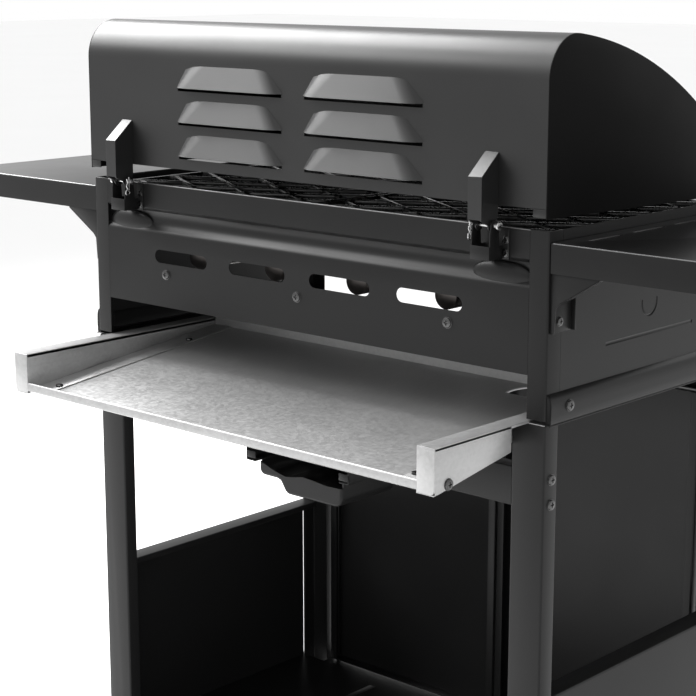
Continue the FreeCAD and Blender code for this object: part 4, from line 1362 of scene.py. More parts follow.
    def burners(self) -> None:
        """Four perforated tubes with a flattened tail tab."""
        first = Span.of("burner_1")
        x, y0 = first.mid.x, first.lo.y
        tube = BENCH.rod("burner_tube_1", Y, self.tube_radius, (x, y0, self.slot_z), self.tube_length,
                         0.0008, 36)
        bore = BENCH.rod("bore", Y, self.tube_radius - self.wall, (x, y0 - 0.002, self.slot_z),
                         self.tube_length - 0.002, 0.0, 36)
        BENCH.cut(tube, [bore])
        ports = []
        for step in range(22):
            place = (x - 0.02, y0 + 0.05 + step * self.port_pitch, self.slot_z + 0.0078)
            ports.append(BENCH.rod("port", X, 0.0016, place, 0.04, 0.0, 8))
        BENCH.cut(tube, ports)
        tab = BENCH.box("tab", (x - 0.008, 0.1482, 0.8373), (x + 0.008, first.hi.y, 0.8393), 0.0004)
        seam = BENCH.box("seam", (x - 0.001, y0 + 0.004, self.slot_z - 0.0163),
                         (x + 0.001, 0.146, self.slot_z - 0.015), 0.0003)
        burner = BENCH.join("burner_tube_1", [tube, tab, seam])
        copies = [burner] + [BENCH.copy(burner, f"burner_tube_{index + 1}",
                                        (there - BURNER_COLUMNS[0], 0, 0))
                             for index, there in enumerate(BURNER_COLUMNS) if index]
        for index, piece in enumerate(copies, start=1):
            self.give(piece, self.looks.tube, f"burner_{index}")

    def heat_plates(self) -> None:
        """Tented plates over the burners, with vent holes along both slopes."""
        span = Span.of("heat_plates")
        x = BURNER_COLUMNS[0]
        reach = x - span.lo.x
        section = [(x - reach, span.lo.z), (x - reach * 0.96, span.lo.z + 0.004), (x, span.hi.z),
                   (x + reach * 0.96, span.lo.z + 0.004), (x + reach, span.lo.z)]
        plate = BENCH.fold("plate", Y, span.lo.y, span.size.y, section, self.wall, (x, 0, 0.7), 0.002)
        holes = []
        for step in range(9):
            y = span.lo.y + 0.04 + step * 0.04
            for lean in (-0.5, 0.5):
                holes.append(BENCH.rod("vent", Z, 0.005, (x + reach * lean, y, span.lo.z - 0.01), 0.05,
                                       0.0, 12))
        BENCH.cut(plate, holes)
        plates = [plate] + [BENCH.copy(plate, "plate", (there - x, 0, 0)) for there in BURNER_COLUMNS[1:]]
        self.give(BENCH.join("flame_tamers", plates), self.looks.enamel, "heat_plates")

    def grates(self) -> None:
        """Two cast grates with a diamond lattice and a rim."""
        span = Span.of("cooking_grate_right")
        x0, x1, y0, y1 = span.lo.x, span.hi.x, span.lo.y, span.hi.y
        low, high, rim, inset = span.lo.z, span.hi.z, self.grate_rim, 0.004
        parts = [BENCH.box("rim", (x0, y, low), (x1, y + rim, high), 0.0022, 3) for y in (y0, y1 - rim)]
        parts += [BENCH.box("rim", (x, y0, low), (x + rim, y1, high), 0.0022, 3) for x in (x0, x1 - rim)]
        for lean in (self.lattice_slope, -self.lattice_slope):
            reach = (y1 - y0) / abs(lean)
            start = x0 - reach
            for step in range(int((x1 - x0 + reach) / self.lattice_pitch) + 2):
                line = self.clip(start + step * self.lattice_pitch, lean,
                                 (x0 + inset, x1 - inset, y0 + inset, y1 - inset))
                if line:
                    parts.append(self.bar(line, self.lattice_bar, low + 0.001, high - 0.0004))
        grate = BENCH.join("grate_right", parts)
        self.give(grate, self.looks.enamel, "cooking_grate_right")
        left = BENCH.twin(grate, "grate_left")
        self.give(left, self.looks.enamel, "cooking_grate_left")

    def clip(self, start: float, lean: float, area: tuple[float, float, float, float]
             ) -> tuple[Vector, Vector] | None:
        """The part of a leaning line that lies inside a rectangle.

        Args:
            start: Where the line meets the rectangle's first edge, or its last edge for a falling line.
            lean: Rise in y for each step in x.
            area: x0, x1, y0, y1.

        Returns:
            Both ends, or None where it misses.
        """
        x0, x1, y0, y1 = area
        base = y0 if lean > 0 else y1
        first, last = max(x0, start), min(x1, start + (y1 - y0) / abs(lean))
        if last - first < 0.012:
            return None
        return (Vector((first, base + lean * (first - start), 0)),
                Vector((last, base + lean * (last - start), 0)))

    def bar(self, line: tuple[Vector, Vector], width: float, low: float, high: float) -> Object:
        """One rounded bar of the lattice.

        Args:
            line: Its two ends.
            width: Its width.
            low: Its underside.
            high: Its top.

        Returns:
            The bar.
        """
        run = line[1] - line[0]
        side = Vector((-run.y, run.x, 0)).normalized() * width / 2
        corners = [line[0] + side, line[1] + side, line[1] - side, line[0] - side]
        return BENCH.plate("bar", Z, low, high - low, [corner.xy for corner in corners], 0.0018)


# Grease tray and cup
@dataclass
class Tray(Assembly):
    """The pulled-out grease tray: pan, side boxes and their screws."""

    body: str = "tray"
    wall: float = 0.0012
    band: float = 0.034
    box_length: float = 0.128
    box_rise: float = 0.0215
    floor_rise: float = 0.037
    notch_x: float = -0.246
    notch_inset: float = 0.034
    notch_radius: float = 0.031

    def build(self) -> None:
        """Model and hand over the tray."""
        self.pan()
        self.side_boxes()
        self.band_screws()

    def slope(self, y: float) -> float:
        """The pan floor's upper face at a depth y."""
        span = Span.of("grease_tray")
        share = (span.hi.y - y) / span.size.y
        return span.lo.z + self.wall + share * self.floor_rise

    def pan(self) -> None:
        """A sloping floor with a hemmed near lip, a far wall, side bands and a drain notch."""
        span = Span.of("grease_tray")
        y0, y1 = span.lo.y, span.hi.y
        top, under = self.slope(y0), span.lo.z
        hem = 0.0026
        section = [(y1 - hem, 0.6735), (y1 - hem * 0.9, 0.6752), (y1 - hem * 0.5, 0.6762),
                   (y1 - 0.0004, 0.6752), (y1, 0.674), (y1, under + 0.0012), (y1 - 0.0014, under),
                   (y0 + 0.0012, top - self.wall), (y0, top), (y0, span.hi.z - 0.001),
                   (y0 + 0.001, span.hi.z), (y0 + 0.005, span.hi.z)]
        pan = BENCH.fold("tray_pan", X, span.lo.x, span.size.x, section, self.wall,
                         (0, (y0 + y1) / 2, 0.9), 0.0, 0.0002)
        notch = BENCH.rod("notch", Z, self.notch_radius, (self.notch_x, y0 + self.notch_inset, 0.68),
                          0.05, 0.0, 40)
        trim = BENCH.box("trim", (-0.29, y0 + 0.038, 0.67), (-0.20, y0 + 0.10, 0.74), 0.0)
        BENCH.cut(notch, [trim])
        BENCH.cut(pan, [notch])
        rim = BENCH.wire("rim", [(pair[0], pair[1], self.slope(pair[1]) + 0.0006)
                                 for pair in arc((self.notch_x, y0 + self.notch_inset),
                                                 self.notch_radius + 0.001, 172.0, 368.0, 18)], 0.0011)
        parts = [pan, rim]
        for side in SIDES:
            outer, inner = side * (span.hi.x - 0.0002), side * (span.hi.x - self.band)
            far, near = y0 + 0.003, y1 - 0.004
            corners = [(y, self.slope(y) + lift) for y, lift in
                       ((far, 0.0002), (near, 0.0002), (near, 0.0016), (far, 0.0016))]
            parts.append(BENCH.plate("band", X, min(outer, inner), abs(outer - inner), corners,
                                     0.0005))
        self.give(BENCH.join("tray_pan", parts), self.looks.sheet, "grease_tray")

    def side_boxes(self) -> None:
        """A closed box beside the near part of the pan, and the flange that slides in the cart."""
        span = Span.of("tray_sides")
        web, outer = Span.of("grease_tray").hi.x, span.hi.x
        y0, y1, top, low = span.lo.y, span.hi.y, 0.7129, span.lo.z
        near, rise = y1 - self.box_length, low + self.box_rise
        wall = self.wall
        web_outline = [(y1 - 0.001, self.slope(y1)), (y0, self.slope(y0)), (y0, top - 0.0006),
                       (y1 - 0.001, top - 0.0006)]
        parts = [BENCH.plate("web", X, web, wall, web_outline, 0.0002)]
        skin = [(y1, low + 0.006), (y1 - 0.0018, low + 0.0012), (y1 - 0.006, low + 0.0012), (near, rise),
                (near, top), (y1, top)]
        parts.append(BENCH.plate("skin", X, outer - wall, wall, skin, 0.0005))
        flange = [(web, top), (outer, top)]
        parts.append(BENCH.fold("flange", Y, y0, y1 - y0 - 0.0006,
                                [(web, top - 0.004)] + flange + [(outer, top - 0.003)], wall,
                                (web + 0.01, 0.2, 0.60), 0.0009))
        cap = [(web, top), (outer, top), (outer, low + 0.007)]
        cap += [(outer - 0.002, low + 0.0025), (outer - 0.007, low), (web, low)]
        parts.append(BENCH.plate("cap", Y, y1 - wall, wall, cap, 0.0006))
        under = [(y1, low), (near, rise), (near, rise + wall), (y1, low + wall)]
        parts.append(BENCH.plate("under", X, web, outer - web - 0.001, under, 0.0003))
        right = BENCH.join("tray_side_boxes", parts)
        self.give(BENCH.pair("tray_side_boxes", right), self.looks.sheet, "tray_sides")

    def band_screws(self) -> None:
        """Small round heads that hold the side bands to the floor."""
        span = Span.of("grease_tray")
        heads = []
        for side in SIDES:
            for y in (span.lo.y + 0.075, span.hi.y - 0.030):
                start = Vector((side * (span.hi.x - 0.026), y, self.slope(y) + 0.001))
                heads.append(BENCH.lean_rod("head", 0.0048, start, start + Vector((0, 0, 0.003)), 0.0012,
                                            20))
        self.give(BENCH.join("tray_band_screws", heads), self.looks.dark_plated)


@dataclass
class Cup(Assembly):
    """The grease cup and the two rails that it hangs in."""

    wall: float = 0.0015
    rail_width: float = 0.0158
    reach: float = 0.0698
    wing_rise: float = 0.014
    corner: float = 0.013

    def build(self) -> None:
        """Model and hand over the cup and its rails."""
        self.rails()
        self.cup()

    def rails(self) -> None:
        """A plate under the rear bar with a square-ended rail at each side."""
        span = Span.of("cup_rails")
        x0, x1, y0, y1, low, high = span.lo.x, span.hi.x, span.lo.y, span.hi.y, span.lo.z, span.hi.z
        inner = x1 - self.rail_width
        section = [(inner, low), (x1, low), (x1, high), (x0, high), (x0, low), (-inner, low)]
        channel = BENCH.fold("cup_rail_channel", Y, y0, y1 - y0, section, self.wall,
                             (0, 0.12, low + 0.008), 0.0016)
        window = BENCH.box("window", (-inner, y0 + 0.012, high - 0.004), (inner, y1 - 0.015, high + 0.004),
                           0.0)
        BENCH.cut(channel, [window])
        caps = [BENCH.box("end", (side * inner, y1 - self.wall, low + 0.0034),
                          (side * x1, y1, high - 0.0115), 0.0004) for side in SIDES]
        hanger = BENCH.box("hanger", (x0, 0.1776, high - 0.002), (x1, 0.1792, 0.6132), 0.0003)
        piece = BENCH.join("cup_rail_channel", [channel, hanger] + caps)
        self.give(piece, self.looks.panel_coat, "cup_rails")

    def cup(self) -> None:
        """A drawn cup, deep on one side and shallow on the other, with a wavy wall between them."""
        span = Span.of("grease_cup")
        y0, y1, low, high = span.lo.y, span.hi.y, span.lo.z, 0.5905
        reach, wing = self.reach, low + self.wing_rise
        outline = [(-reach, high), (-reach, low + self.corner)]
        outline += arc((-reach + self.corner, low + self.corner), self.corner, 180.0, 270.0, 6)[1:]
        outline += arc((0.018, low + 0.011), 0.011, 270.0, 315.0, 3)
        outline += [(0.034, wing + 0.001), (0.040, wing + 0.0028)]
        outline += arc((reach - 0.008, wing + 0.0110), 0.008, 270.0, 350.0, 5)
        outline += [(reach, high)]
        solid = BENCH.plate("cup", Y, y0, y1 - y0, outline, 0.0)
        BENCH.soften(solid, 0.0035, 3, 50.0)
        inner = [(x * 0.965, z + (0.002 if z < high - 0.001 else 0.004)) for x, z in outline]
        hollow = BENCH.plate("hollow", Y, y0 + 0.0018, y1 - y0 - 0.0036, inner, 0.0)
        BENCH.cut(solid, [hollow])
        wave = [(-reach - 0.002, high - 0.011), (-0.045, high - 0.012), (-0.02, high - 0.0095),
                (-0.004, high - 0.0085), (0.010, high - 0.0115), (0.024, high - 0.0135),
                (0.042, high - 0.0100), (reach - 0.006, high - 0.0030), (reach + 0.002, high - 0.0022),
                (reach + 0.002, high + 0.004), (-reach - 0.002, high + 0.004)]
        BENCH.cut(solid, [BENCH.plate("wave", Y, y1 - 0.0035, 0.006, wave, 0.0)])
        rims = [BENCH.box("rim", (side * 0.068, y0, high - 0.0003), (side * 0.0838, y1, high + 0.0014),
                          0.0005) for side in SIDES]
        piece = BENCH.join("drip_cup", [BENCH.smooth(solid, 40.0)] + rims)
        self.give(piece, self.looks.panel_coat, "grease_cup", body="cup")


# Cart
@dataclass
class Cart(Assembly):
    """Legs, rails, cross bars, lower panels, shelf, doors, feet and wheels."""

    wall: float = 0.0015
    sheet: float = 0.0012
    pin_x: float = 0.311
    pin_y: float = -0.22975
    bulge: float = 0.006
    door_low: float = 0.145
    door_high: float = 0.668
    door_edge: float = 0.316
    axle_radius: float = 0.006
    rim_radius: float = 0.0605
    hub_radius: float = 0.018

    def build(self) -> None:
        """Model and hand over every piece of the cart."""
        self.legs()
        self.rails()
        self.guides()
        self.cross_bars()
        self.side_panels()
        self.bottom_shelf()
        self.doors()
        self.feet()
        self.wheels()

    def legs(self) -> None:
        """Four legs folded to a C, with a hole near the foot of the right-hand ones."""
        for name in ("leg_rear_right", "leg_rear_left", "leg_front_right", "leg_front_left"):
            span = Span.of(name)
            side = 1 if span.mid.x > 0 else -1
            end = 1 if "rear" in name else -1
            face = span.hi.y if end > 0 else span.lo.y
            outer = span.hi.x if side > 0 else span.lo.x
            inner = span.lo.x if side > 0 else span.hi.x
            section = [(inner, face - end * 0.018), (inner, face), (outer, face),
                       (outer, face - end * 0.025), (outer - side * 0.005, face - end * 0.025)]
            leg = BENCH.fold("cart_" + name, Z, span.lo.z, span.size.z, section, self.wall,
                             (span.mid.x, span.mid.y, span.mid.z), 0.0024)
            if side > 0:
                hole = BENCH.rod("hole", Y, 0.0061, (outer - 0.024, face - end * 0.01 - 0.02, 0.075),
                                 0.04, 0.0)
                BENCH.cut(leg, [hole])
            self.give(leg, self.looks.panel_coat, name)

    def rails(self) -> None:
        """Side rails with a rolled, bulging face and a turned lower edge."""
        for side, name in HANDS:
            span = Span.of("side_rail_" + name)
            out = span.hi.x if side > 0 else span.lo.x
            low, high = span.lo.z, span.hi.z
            bulge = [(out - side * self.bulge, low), (out - side * 0.0006, low), (out, low + 0.0022)]
            bulge += [(out - side * self.bulge * (1 - math.sin(turn)),
                       low + 0.0022 + (high - low - 0.0022) * share)
                      for share, turn in ((0.25, 1.5708), (0.45, 1.5), (0.62, 1.3), (0.78, 1.0),
                                          (0.9, 0.62), (1.0, 0.0))]
            rail = BENCH.fold("side_rail_skin_" + name, Y, span.lo.y, span.size.y, bulge, self.wall,
                              (0, 0, span.mid.z), 0.0, 0.0003)
            caps = []
            for y in (span.lo.y, span.hi.y - 0.0012):
                shape = [(out - side * self.bulge, low), (out - side * 0.001, low)] + bulge[3:]
                caps.append(BENCH.plate("cap", Y, y, 0.0012, shape, 0.0))
            piece = BENCH.join("side_rail_skin_" + name, [rail] + caps)
            self.give(piece, self.looks.coat, "side_rail_" + name)

    def guides(self) -> None:
        """Ledges on the leg tops, with a small downturned inner edge."""
        span = Span.of("tray_guides")
        x0 = 0.3247
        section = [(x0, span.lo.z + 0.0006), (x0, span.hi.z), (span.hi.x, span.hi.z),
                   (span.hi.x, span.lo.z)]
        ledge = BENCH.fold("guide", Y, span.lo.y, span.size.y, section, 0.0011, (x0 + 0.02, 0, 0.5),
                           0.0006, 0.0002)
        self.give(BENCH.pair("tray_guide_ledges", ledge), self.looks.coat, "tray_guides")

    def cross_bars(self) -> None:
        """Channel-section bars: one under the tray at the back, one over the doors."""
        for node, name, end in (("rear_cross_bar", "rear_bar", 1), ("front_cross_rail", "door_header", -1)):
            span = Span.of(node)
            face = span.hi.y if end > 0 else span.lo.y
            edge = span.lo.y if end > 0 else span.hi.y
            section = [(edge, span.lo.z), (face, span.lo.z), (face, span.hi.z), (edge, span.hi.z)]
            bar = BENCH.fold(name, X, span.lo.x, span.size.x, section, self.wall,
                             (0, span.mid.y, span.mid.z), 0.002)
            if end < 0:
                BENCH.drill(bar, Z, 0.0032, 0.008,
                            [(side * self.pin_x, self.pin_y, span.lo.z - 0.003) for side in SIDES], 20)
            self.give(bar, self.looks.panel_coat, node)

    def side_panels(self) -> None:
        """Low panels with a wide inward top flange and a return lip."""
        for side, name in HANDS:
            span = Span.of("side_panel_" + name)
            outer = span.hi.x if side > 0 else span.lo.x
            inner = span.lo.x if side > 0 else span.hi.x
            section = [(outer, span.lo.z), (outer, span.hi.z), (inner, span.hi.z),
                       (inner, span.hi.z - 0.008)]
            panel = BENCH.fold("lower_panel_" + name, Y, span.lo.y, span.size.y, section, self.sheet,
                               (0, 0, span.lo.z), 0.0022)
            self.give(panel, self.looks.panel_coat, "side_panel_" + name)

    def bottom_shelf(self) -> None:
        """The cabinet floor: a deck with turned-down rims and a shallow pressed field."""
        span = Span.of("bottom_shelf")
        wide, half = span.hi.x, 0.3235
        y0, y1, top = span.lo.y, span.hi.y, span.hi.z
        corner = 0.025
        outline = [(-half, y0), (half, y0), (half, y0 + corner), (wide, y0 + corner), (wide, y1 - corner),
                   (half, y1 - corner), (half, y1), (-half, y1), (-half, y1 - corner), (-wide, y1 - corner),
                   (-wide, y0 + corner), (-half, y0 + corner)]
        deck = BENCH.plate("shelf_deck", Z, top - self.sheet, self.sheet, outline, 0.0003, 1)
        holes = [BENCH.rod("hole", Z, 0.0032, (side * self.pin_x, self.pin_y, top - 0.006), 0.01, 0.0,
                           20) for side in SIDES]
        BENCH.cut(deck, holes)
        rims = [BENCH.box("rim", (-half, y, span.lo.z), (half, y + self.sheet, top - 0.0004), 0.0004)
                for y in (y0, y1 - self.sheet)]
        beads = [BENCH.box("bead", (x - 0.006, y0 + 0.05, top - 0.0006),
                           (x + 0.006, y1 - 0.05, top + 0.0008), 0.0006) for x in (-0.2, 0.0, 0.2)]
        piece = BENCH.join("cabinet_floor", [deck] + rims + beads)
        self.give(piece, self.looks.coat, "bottom_shelf")

    def doors(self) -> None:
        """Dished doors on pins: a folded skin with turned-in lips, closed at top and bottom by end plates."""
        for side, name in HANDS:
            span = Span.of("door_" + name)
            y0, y1 = span.lo.y, span.hi.y
            low, high = self.door_low, self.door_high
            near, far = side * 0.0015, side * self.door_edge
            x0, x1 = min(near, far), max(near, far)
            lip = 0.012
            section = [(near + side * lip, y1), (near, y1), (near, y0), (far, y0), (far, y1),
                       (far - side * lip, y1)]
            skin = BENCH.fold("skin", Z, low, high - low, section, self.sheet,
                              ((x0 + x1) / 2, y0 + 0.009, 0.4), 0.0022)
            ends = [BENCH.box("end", (x0 + 0.0008, y0 + 0.0008, z), (x1 - 0.0008, y1, z + self.sheet),
                              0.0003) for z in (low, high - self.sheet)]
            pin = BENCH.rod("pin", Z, 0.003, (side * self.pin_x, self.pin_y, span.lo.z), span.size.z,
                            0.0006, 20)
            door = BENCH.join("cabinet_door_" + name, [skin, *ends, pin])
            self.give(door, self.looks.coat, "door_" + name, body=name + "_door")

    def feet(self) -> None:
        """Two moulded feet with a flared pad."""
        span = Span.of("feet")
        feet = []
        for y0, y1 in ((span.hi.y - 0.025, span.hi.y), (span.lo.y, span.lo.y + 0.025)):
            feet.append(BENCH.box("plug", (span.lo.x + 0.001, y0 + 0.001, 0.006),
                                  (span.hi.x - 0.001, y1 - 0.001, span.hi.z), 0.0015))
            feet.append(BENCH.box("pad", (span.lo.x, y0, 0.0), (span.hi.x, y1, 0.009), 0.0025, 3))
            feet.append(BENCH.rod("screw", Z, 0.005, (span.mid.x, (y0 + y1) / 2, 0.006), 0.01, 0.0005,
                                  16))
        self.give(BENCH.join("moulded_feet", feet), self.looks.plastic, "feet")

    def wheels(self) -> None:
        """Spoked wheels with a ribbed tyre, on one axle with end caps."""
        axle = Span.of("axle")
        bar = BENCH.rod("axle_bar", Y, self.axle_radius, (axle.mid.x, axle.lo.y, axle.mid.z),
                        axle.size.y, 0.001, 28)
        caps = [BENCH.rod("cap", Y, 0.010, (axle.mid.x, y, axle.mid.z), 0.003, 0.001, 28)
                for y in (axle.lo.y, axle.hi.y - 0.003)]
        self.give(BENCH.join("axle_bar", [bar] + caps), self.looks.plated, "axle")
        for node, body in (("wheel_rear", "rear_wheel"), ("wheel_front", "front_wheel")):
            span = Span.of(node)
            self.tyre(node, span, body)
            self.hub(node, span, body)

    def tyre(self, node: str, span: Span, body: str) -> None:
        """A tread ring with rounded shoulders and fine grooves.

        Args:
            node: The wheel's node.
            span: Its box.
            body: The body that it rides on.
        """
        middle = (span.mid.x, span.lo.y, span.mid.z)
        ring = BENCH.rod("tyre_" + node, Y, 0.075, middle, span.size.y, 0.006, 96)
        bore = BENCH.rod("bore", Y, 0.060, (middle[0], middle[1] - 0.002, middle[2]),
                         span.size.y + 0.004, 0.0, 72)
        BENCH.cut(ring, [bore])
        tools = []
        for y in (span.lo.y + 0.009, span.mid.y - 0.0008, span.hi.y - 0.0106):
            outer = BENCH.rod("groove", Y, 0.077, (middle[0], y, middle[2]), 0.0016, 0.0, 72)
            core = BENCH.rod("core", Y, 0.0735, (middle[0], y - 0.001, middle[2]), 0.0036, 0.0, 72)
            tools.append(BENCH.cut(outer, [core]))
        BENCH.cut(ring, tools)
        self.give(BENCH.smooth(ring, 30.0), self.looks.rubber, node, body=body)

    def hub(self, node: str, span: Span, body: str) -> None:
        """The wheel's moulded rim, seven spokes and hub.

        Args:
            node: The wheel's node.
            span: Its box.
            body: The body that it rides on.
        """
        x, z = span.mid.x, span.mid.z
        rim = BENCH.rod("rim", Y, self.rim_radius, (x, span.lo.y + 0.003, z), span.size.y - 0.006,
                        0.001, 72)
        BENCH.drill(rim, Y, 0.053, span.size.y, [(x, span.lo.y, z)], 72)
        core = BENCH.rod("core", Y, self.hub_radius, (x, span.lo.y + 0.001, z), span.size.y - 0.002,
                         0.002, 40)
        BENCH.drill(core, Y, 0.00605, span.size.y + 0.002, [(x, span.lo.y - 0.001, z)], 28)
        parts = [rim, core]
        for step in range(7):
            turn = 2 * math.pi * step / 7
            direction = Vector((math.cos(turn), 0, math.sin(turn)))
            side = Vector((-direction.z, 0, direction.x)) * 0.0045
            start, end = direction * 0.0165, direction * 0.0545
            corners = [start + side * 1.3, end + side * 0.8, end - side * 0.8, start - side * 1.3]
            outline = [(x + corner.x, z + corner.z) for corner in corners]
            parts.append(BENCH.plate("spoke", Y, span.mid.y - 0.006, 0.012, outline, 0.0015))
        self.give(BENCH.join("hub_" + node, parts), self.looks.plastic, body=body)


# Side shelves
@dataclass
class Shelves(Assembly):
    """Two folded side shelves with a row of slots, on gusset brackets."""

    wall: float = 0.0012
    slot_x: float = 0.391
    slot_length: float = 0.061
    slot_pitch: float = 0.083
    slot_first: float = 0.039
    slot_round: float = 0.0025
    bracket_inset: float = 0.0044

    def build(self) -> None:
        """Model and hand over shelves and brackets."""
        right = self.shelf()
        left = BENCH.twin(right, "shelf_left")
        self.give(right, self.looks.coat, "side_shelf_right")
        self.give(left, self.looks.coat, "side_shelf_left")
        self.rims()
        self.brackets()

    def shelf(self) -> Object:
        """A dished tray turned upside down: rounded top edges, hanging rims, slots near the grill.

        Returns:
            The right-hand shelf.
        """
        span = Span.of("side_shelf_right")
        BENCH.only()
        bpy.ops.mesh.primitive_cube_add(size=1, location=span.mid)
        shelf = bpy.context.object
        shelf.scale = span.size
        BENCH.settle(shelf, "shelf_right")
        low = span.lo.z + 0.0001
        with BENCH.editing(shelf):
            BENCH.pick(shelf, Kind.EDGES,
                       lambda spot: abs(spot.z - span.mid.z) < 0.004 and spot.x > span.mid.x)
            bpy.ops.mesh.bevel(offset=0.012, segments=5, profile=0.5)
            BENCH.pick(shelf, Kind.EDGES, lambda spot: spot.z > span.hi.z - 0.0001)
            bpy.ops.mesh.bevel(offset=0.0022, segments=3, profile=0.5)
            BENCH.pick(shelf, Kind.FACES, lambda spot: spot.z < low)
            bpy.ops.mesh.delete(type="FACE")
            BENCH.outwards()
        BENCH.thicken(shelf, self.wall, span.mid)
        rear = Span.of("corner_posts").hi.y
        slots = []
        for index in range(4):
            y = rear - self.slot_first - self.slot_pitch * index - self.slot_length / 2
            flat = self.slot_length / 2 - self.slot_round
            outline = (arc((self.slot_x, y + flat), self.slot_round, 0.0, 180.0, 6)
                       + arc((self.slot_x, y - flat), self.slot_round, 180.0, 360.0, 6))
            slots.append(BENCH.plate("slot", Z, span.hi.z - 0.006, 0.012, outline, 0.0))
        BENCH.cut(shelf, slots)
        return BENCH.smooth(shelf)

    def rims(self) -> None:
        """Bright beads along the shelves' long upper edges; their light coat paints the highlight of the
        rounded edge.
        """
        span = Span.of("side_shelf_right")
        x0, x1, z = span.lo.x + 0.0024, span.hi.x - 0.012, span.hi.z - 0.0011
        beads = [BENCH.rod("bead", X, 0.0008, (x0, y, z), x1 - x0, 0.0, 12)
                 for y in (span.lo.y + 0.0009, span.hi.y - 0.0009)]
        right = BENCH.join("shelf_highlight_beads_right", beads)
        left = BENCH.twin(right, "shelf_highlight_beads_left")
        self.give(right, self.looks.highlight_rim_coat)
        self.give(left, self.looks.highlight_rim_coat)

    def brackets(self) -> None:
        """Gussets with a bent upper edge and a foot flange screwed to the post."""
        span = Span.of("shelf_brackets")
        posts = Span.of("corner_posts")
        x0, x1, low, high = posts.hi.x, span.hi.x, span.lo.z, span.hi.z
        gussets = []
        for end, y in ((1, posts.hi.y - self.bracket_inset), (-1, posts.lo.y + self.bracket_inset)):
            inner = y - end * 0.0015
            outline = [(x0, low), (x0, high), (x1, high), (x1, high - 0.002), (x0 + 0.012, low + 0.0335),
                       (x0 + 0.007, low + 0.028), (x0 + 0.005, low)]
            web = BENCH.plate("web", Y, min(y, inner), 0.0015, outline, 0.0004)
            heel = y - end * 0.038
            foot = BENCH.box("foot", (x0, y, low), (x0 + 0.0012, heel, low + 0.034), 0.0004)
            edge = [(x0 + 0.012, low + 0.0335), (x1, high - 0.0016), (x1, high - 0.0004),
                    (x0 + 0.012, low + 0.0348)]
            lip = BENCH.plate("lip", Y, min(y, y - end * 0.010), 0.010, edge, 0.0003)
            rib = BENCH.box("rib", (x0 + 0.001, heel - 0.001, low), (x0 + 0.006, heel + 0.001, low + 0.034),
                            0.0004)
            gusset = BENCH.join("gusset", [web, foot, lip, rib])
            gussets += [gusset, BENCH.twin(gusset, "gusset_left")]
        self.give(BENCH.join("shelf_gussets", gussets), self.looks.panel_coat, "shelf_brackets")


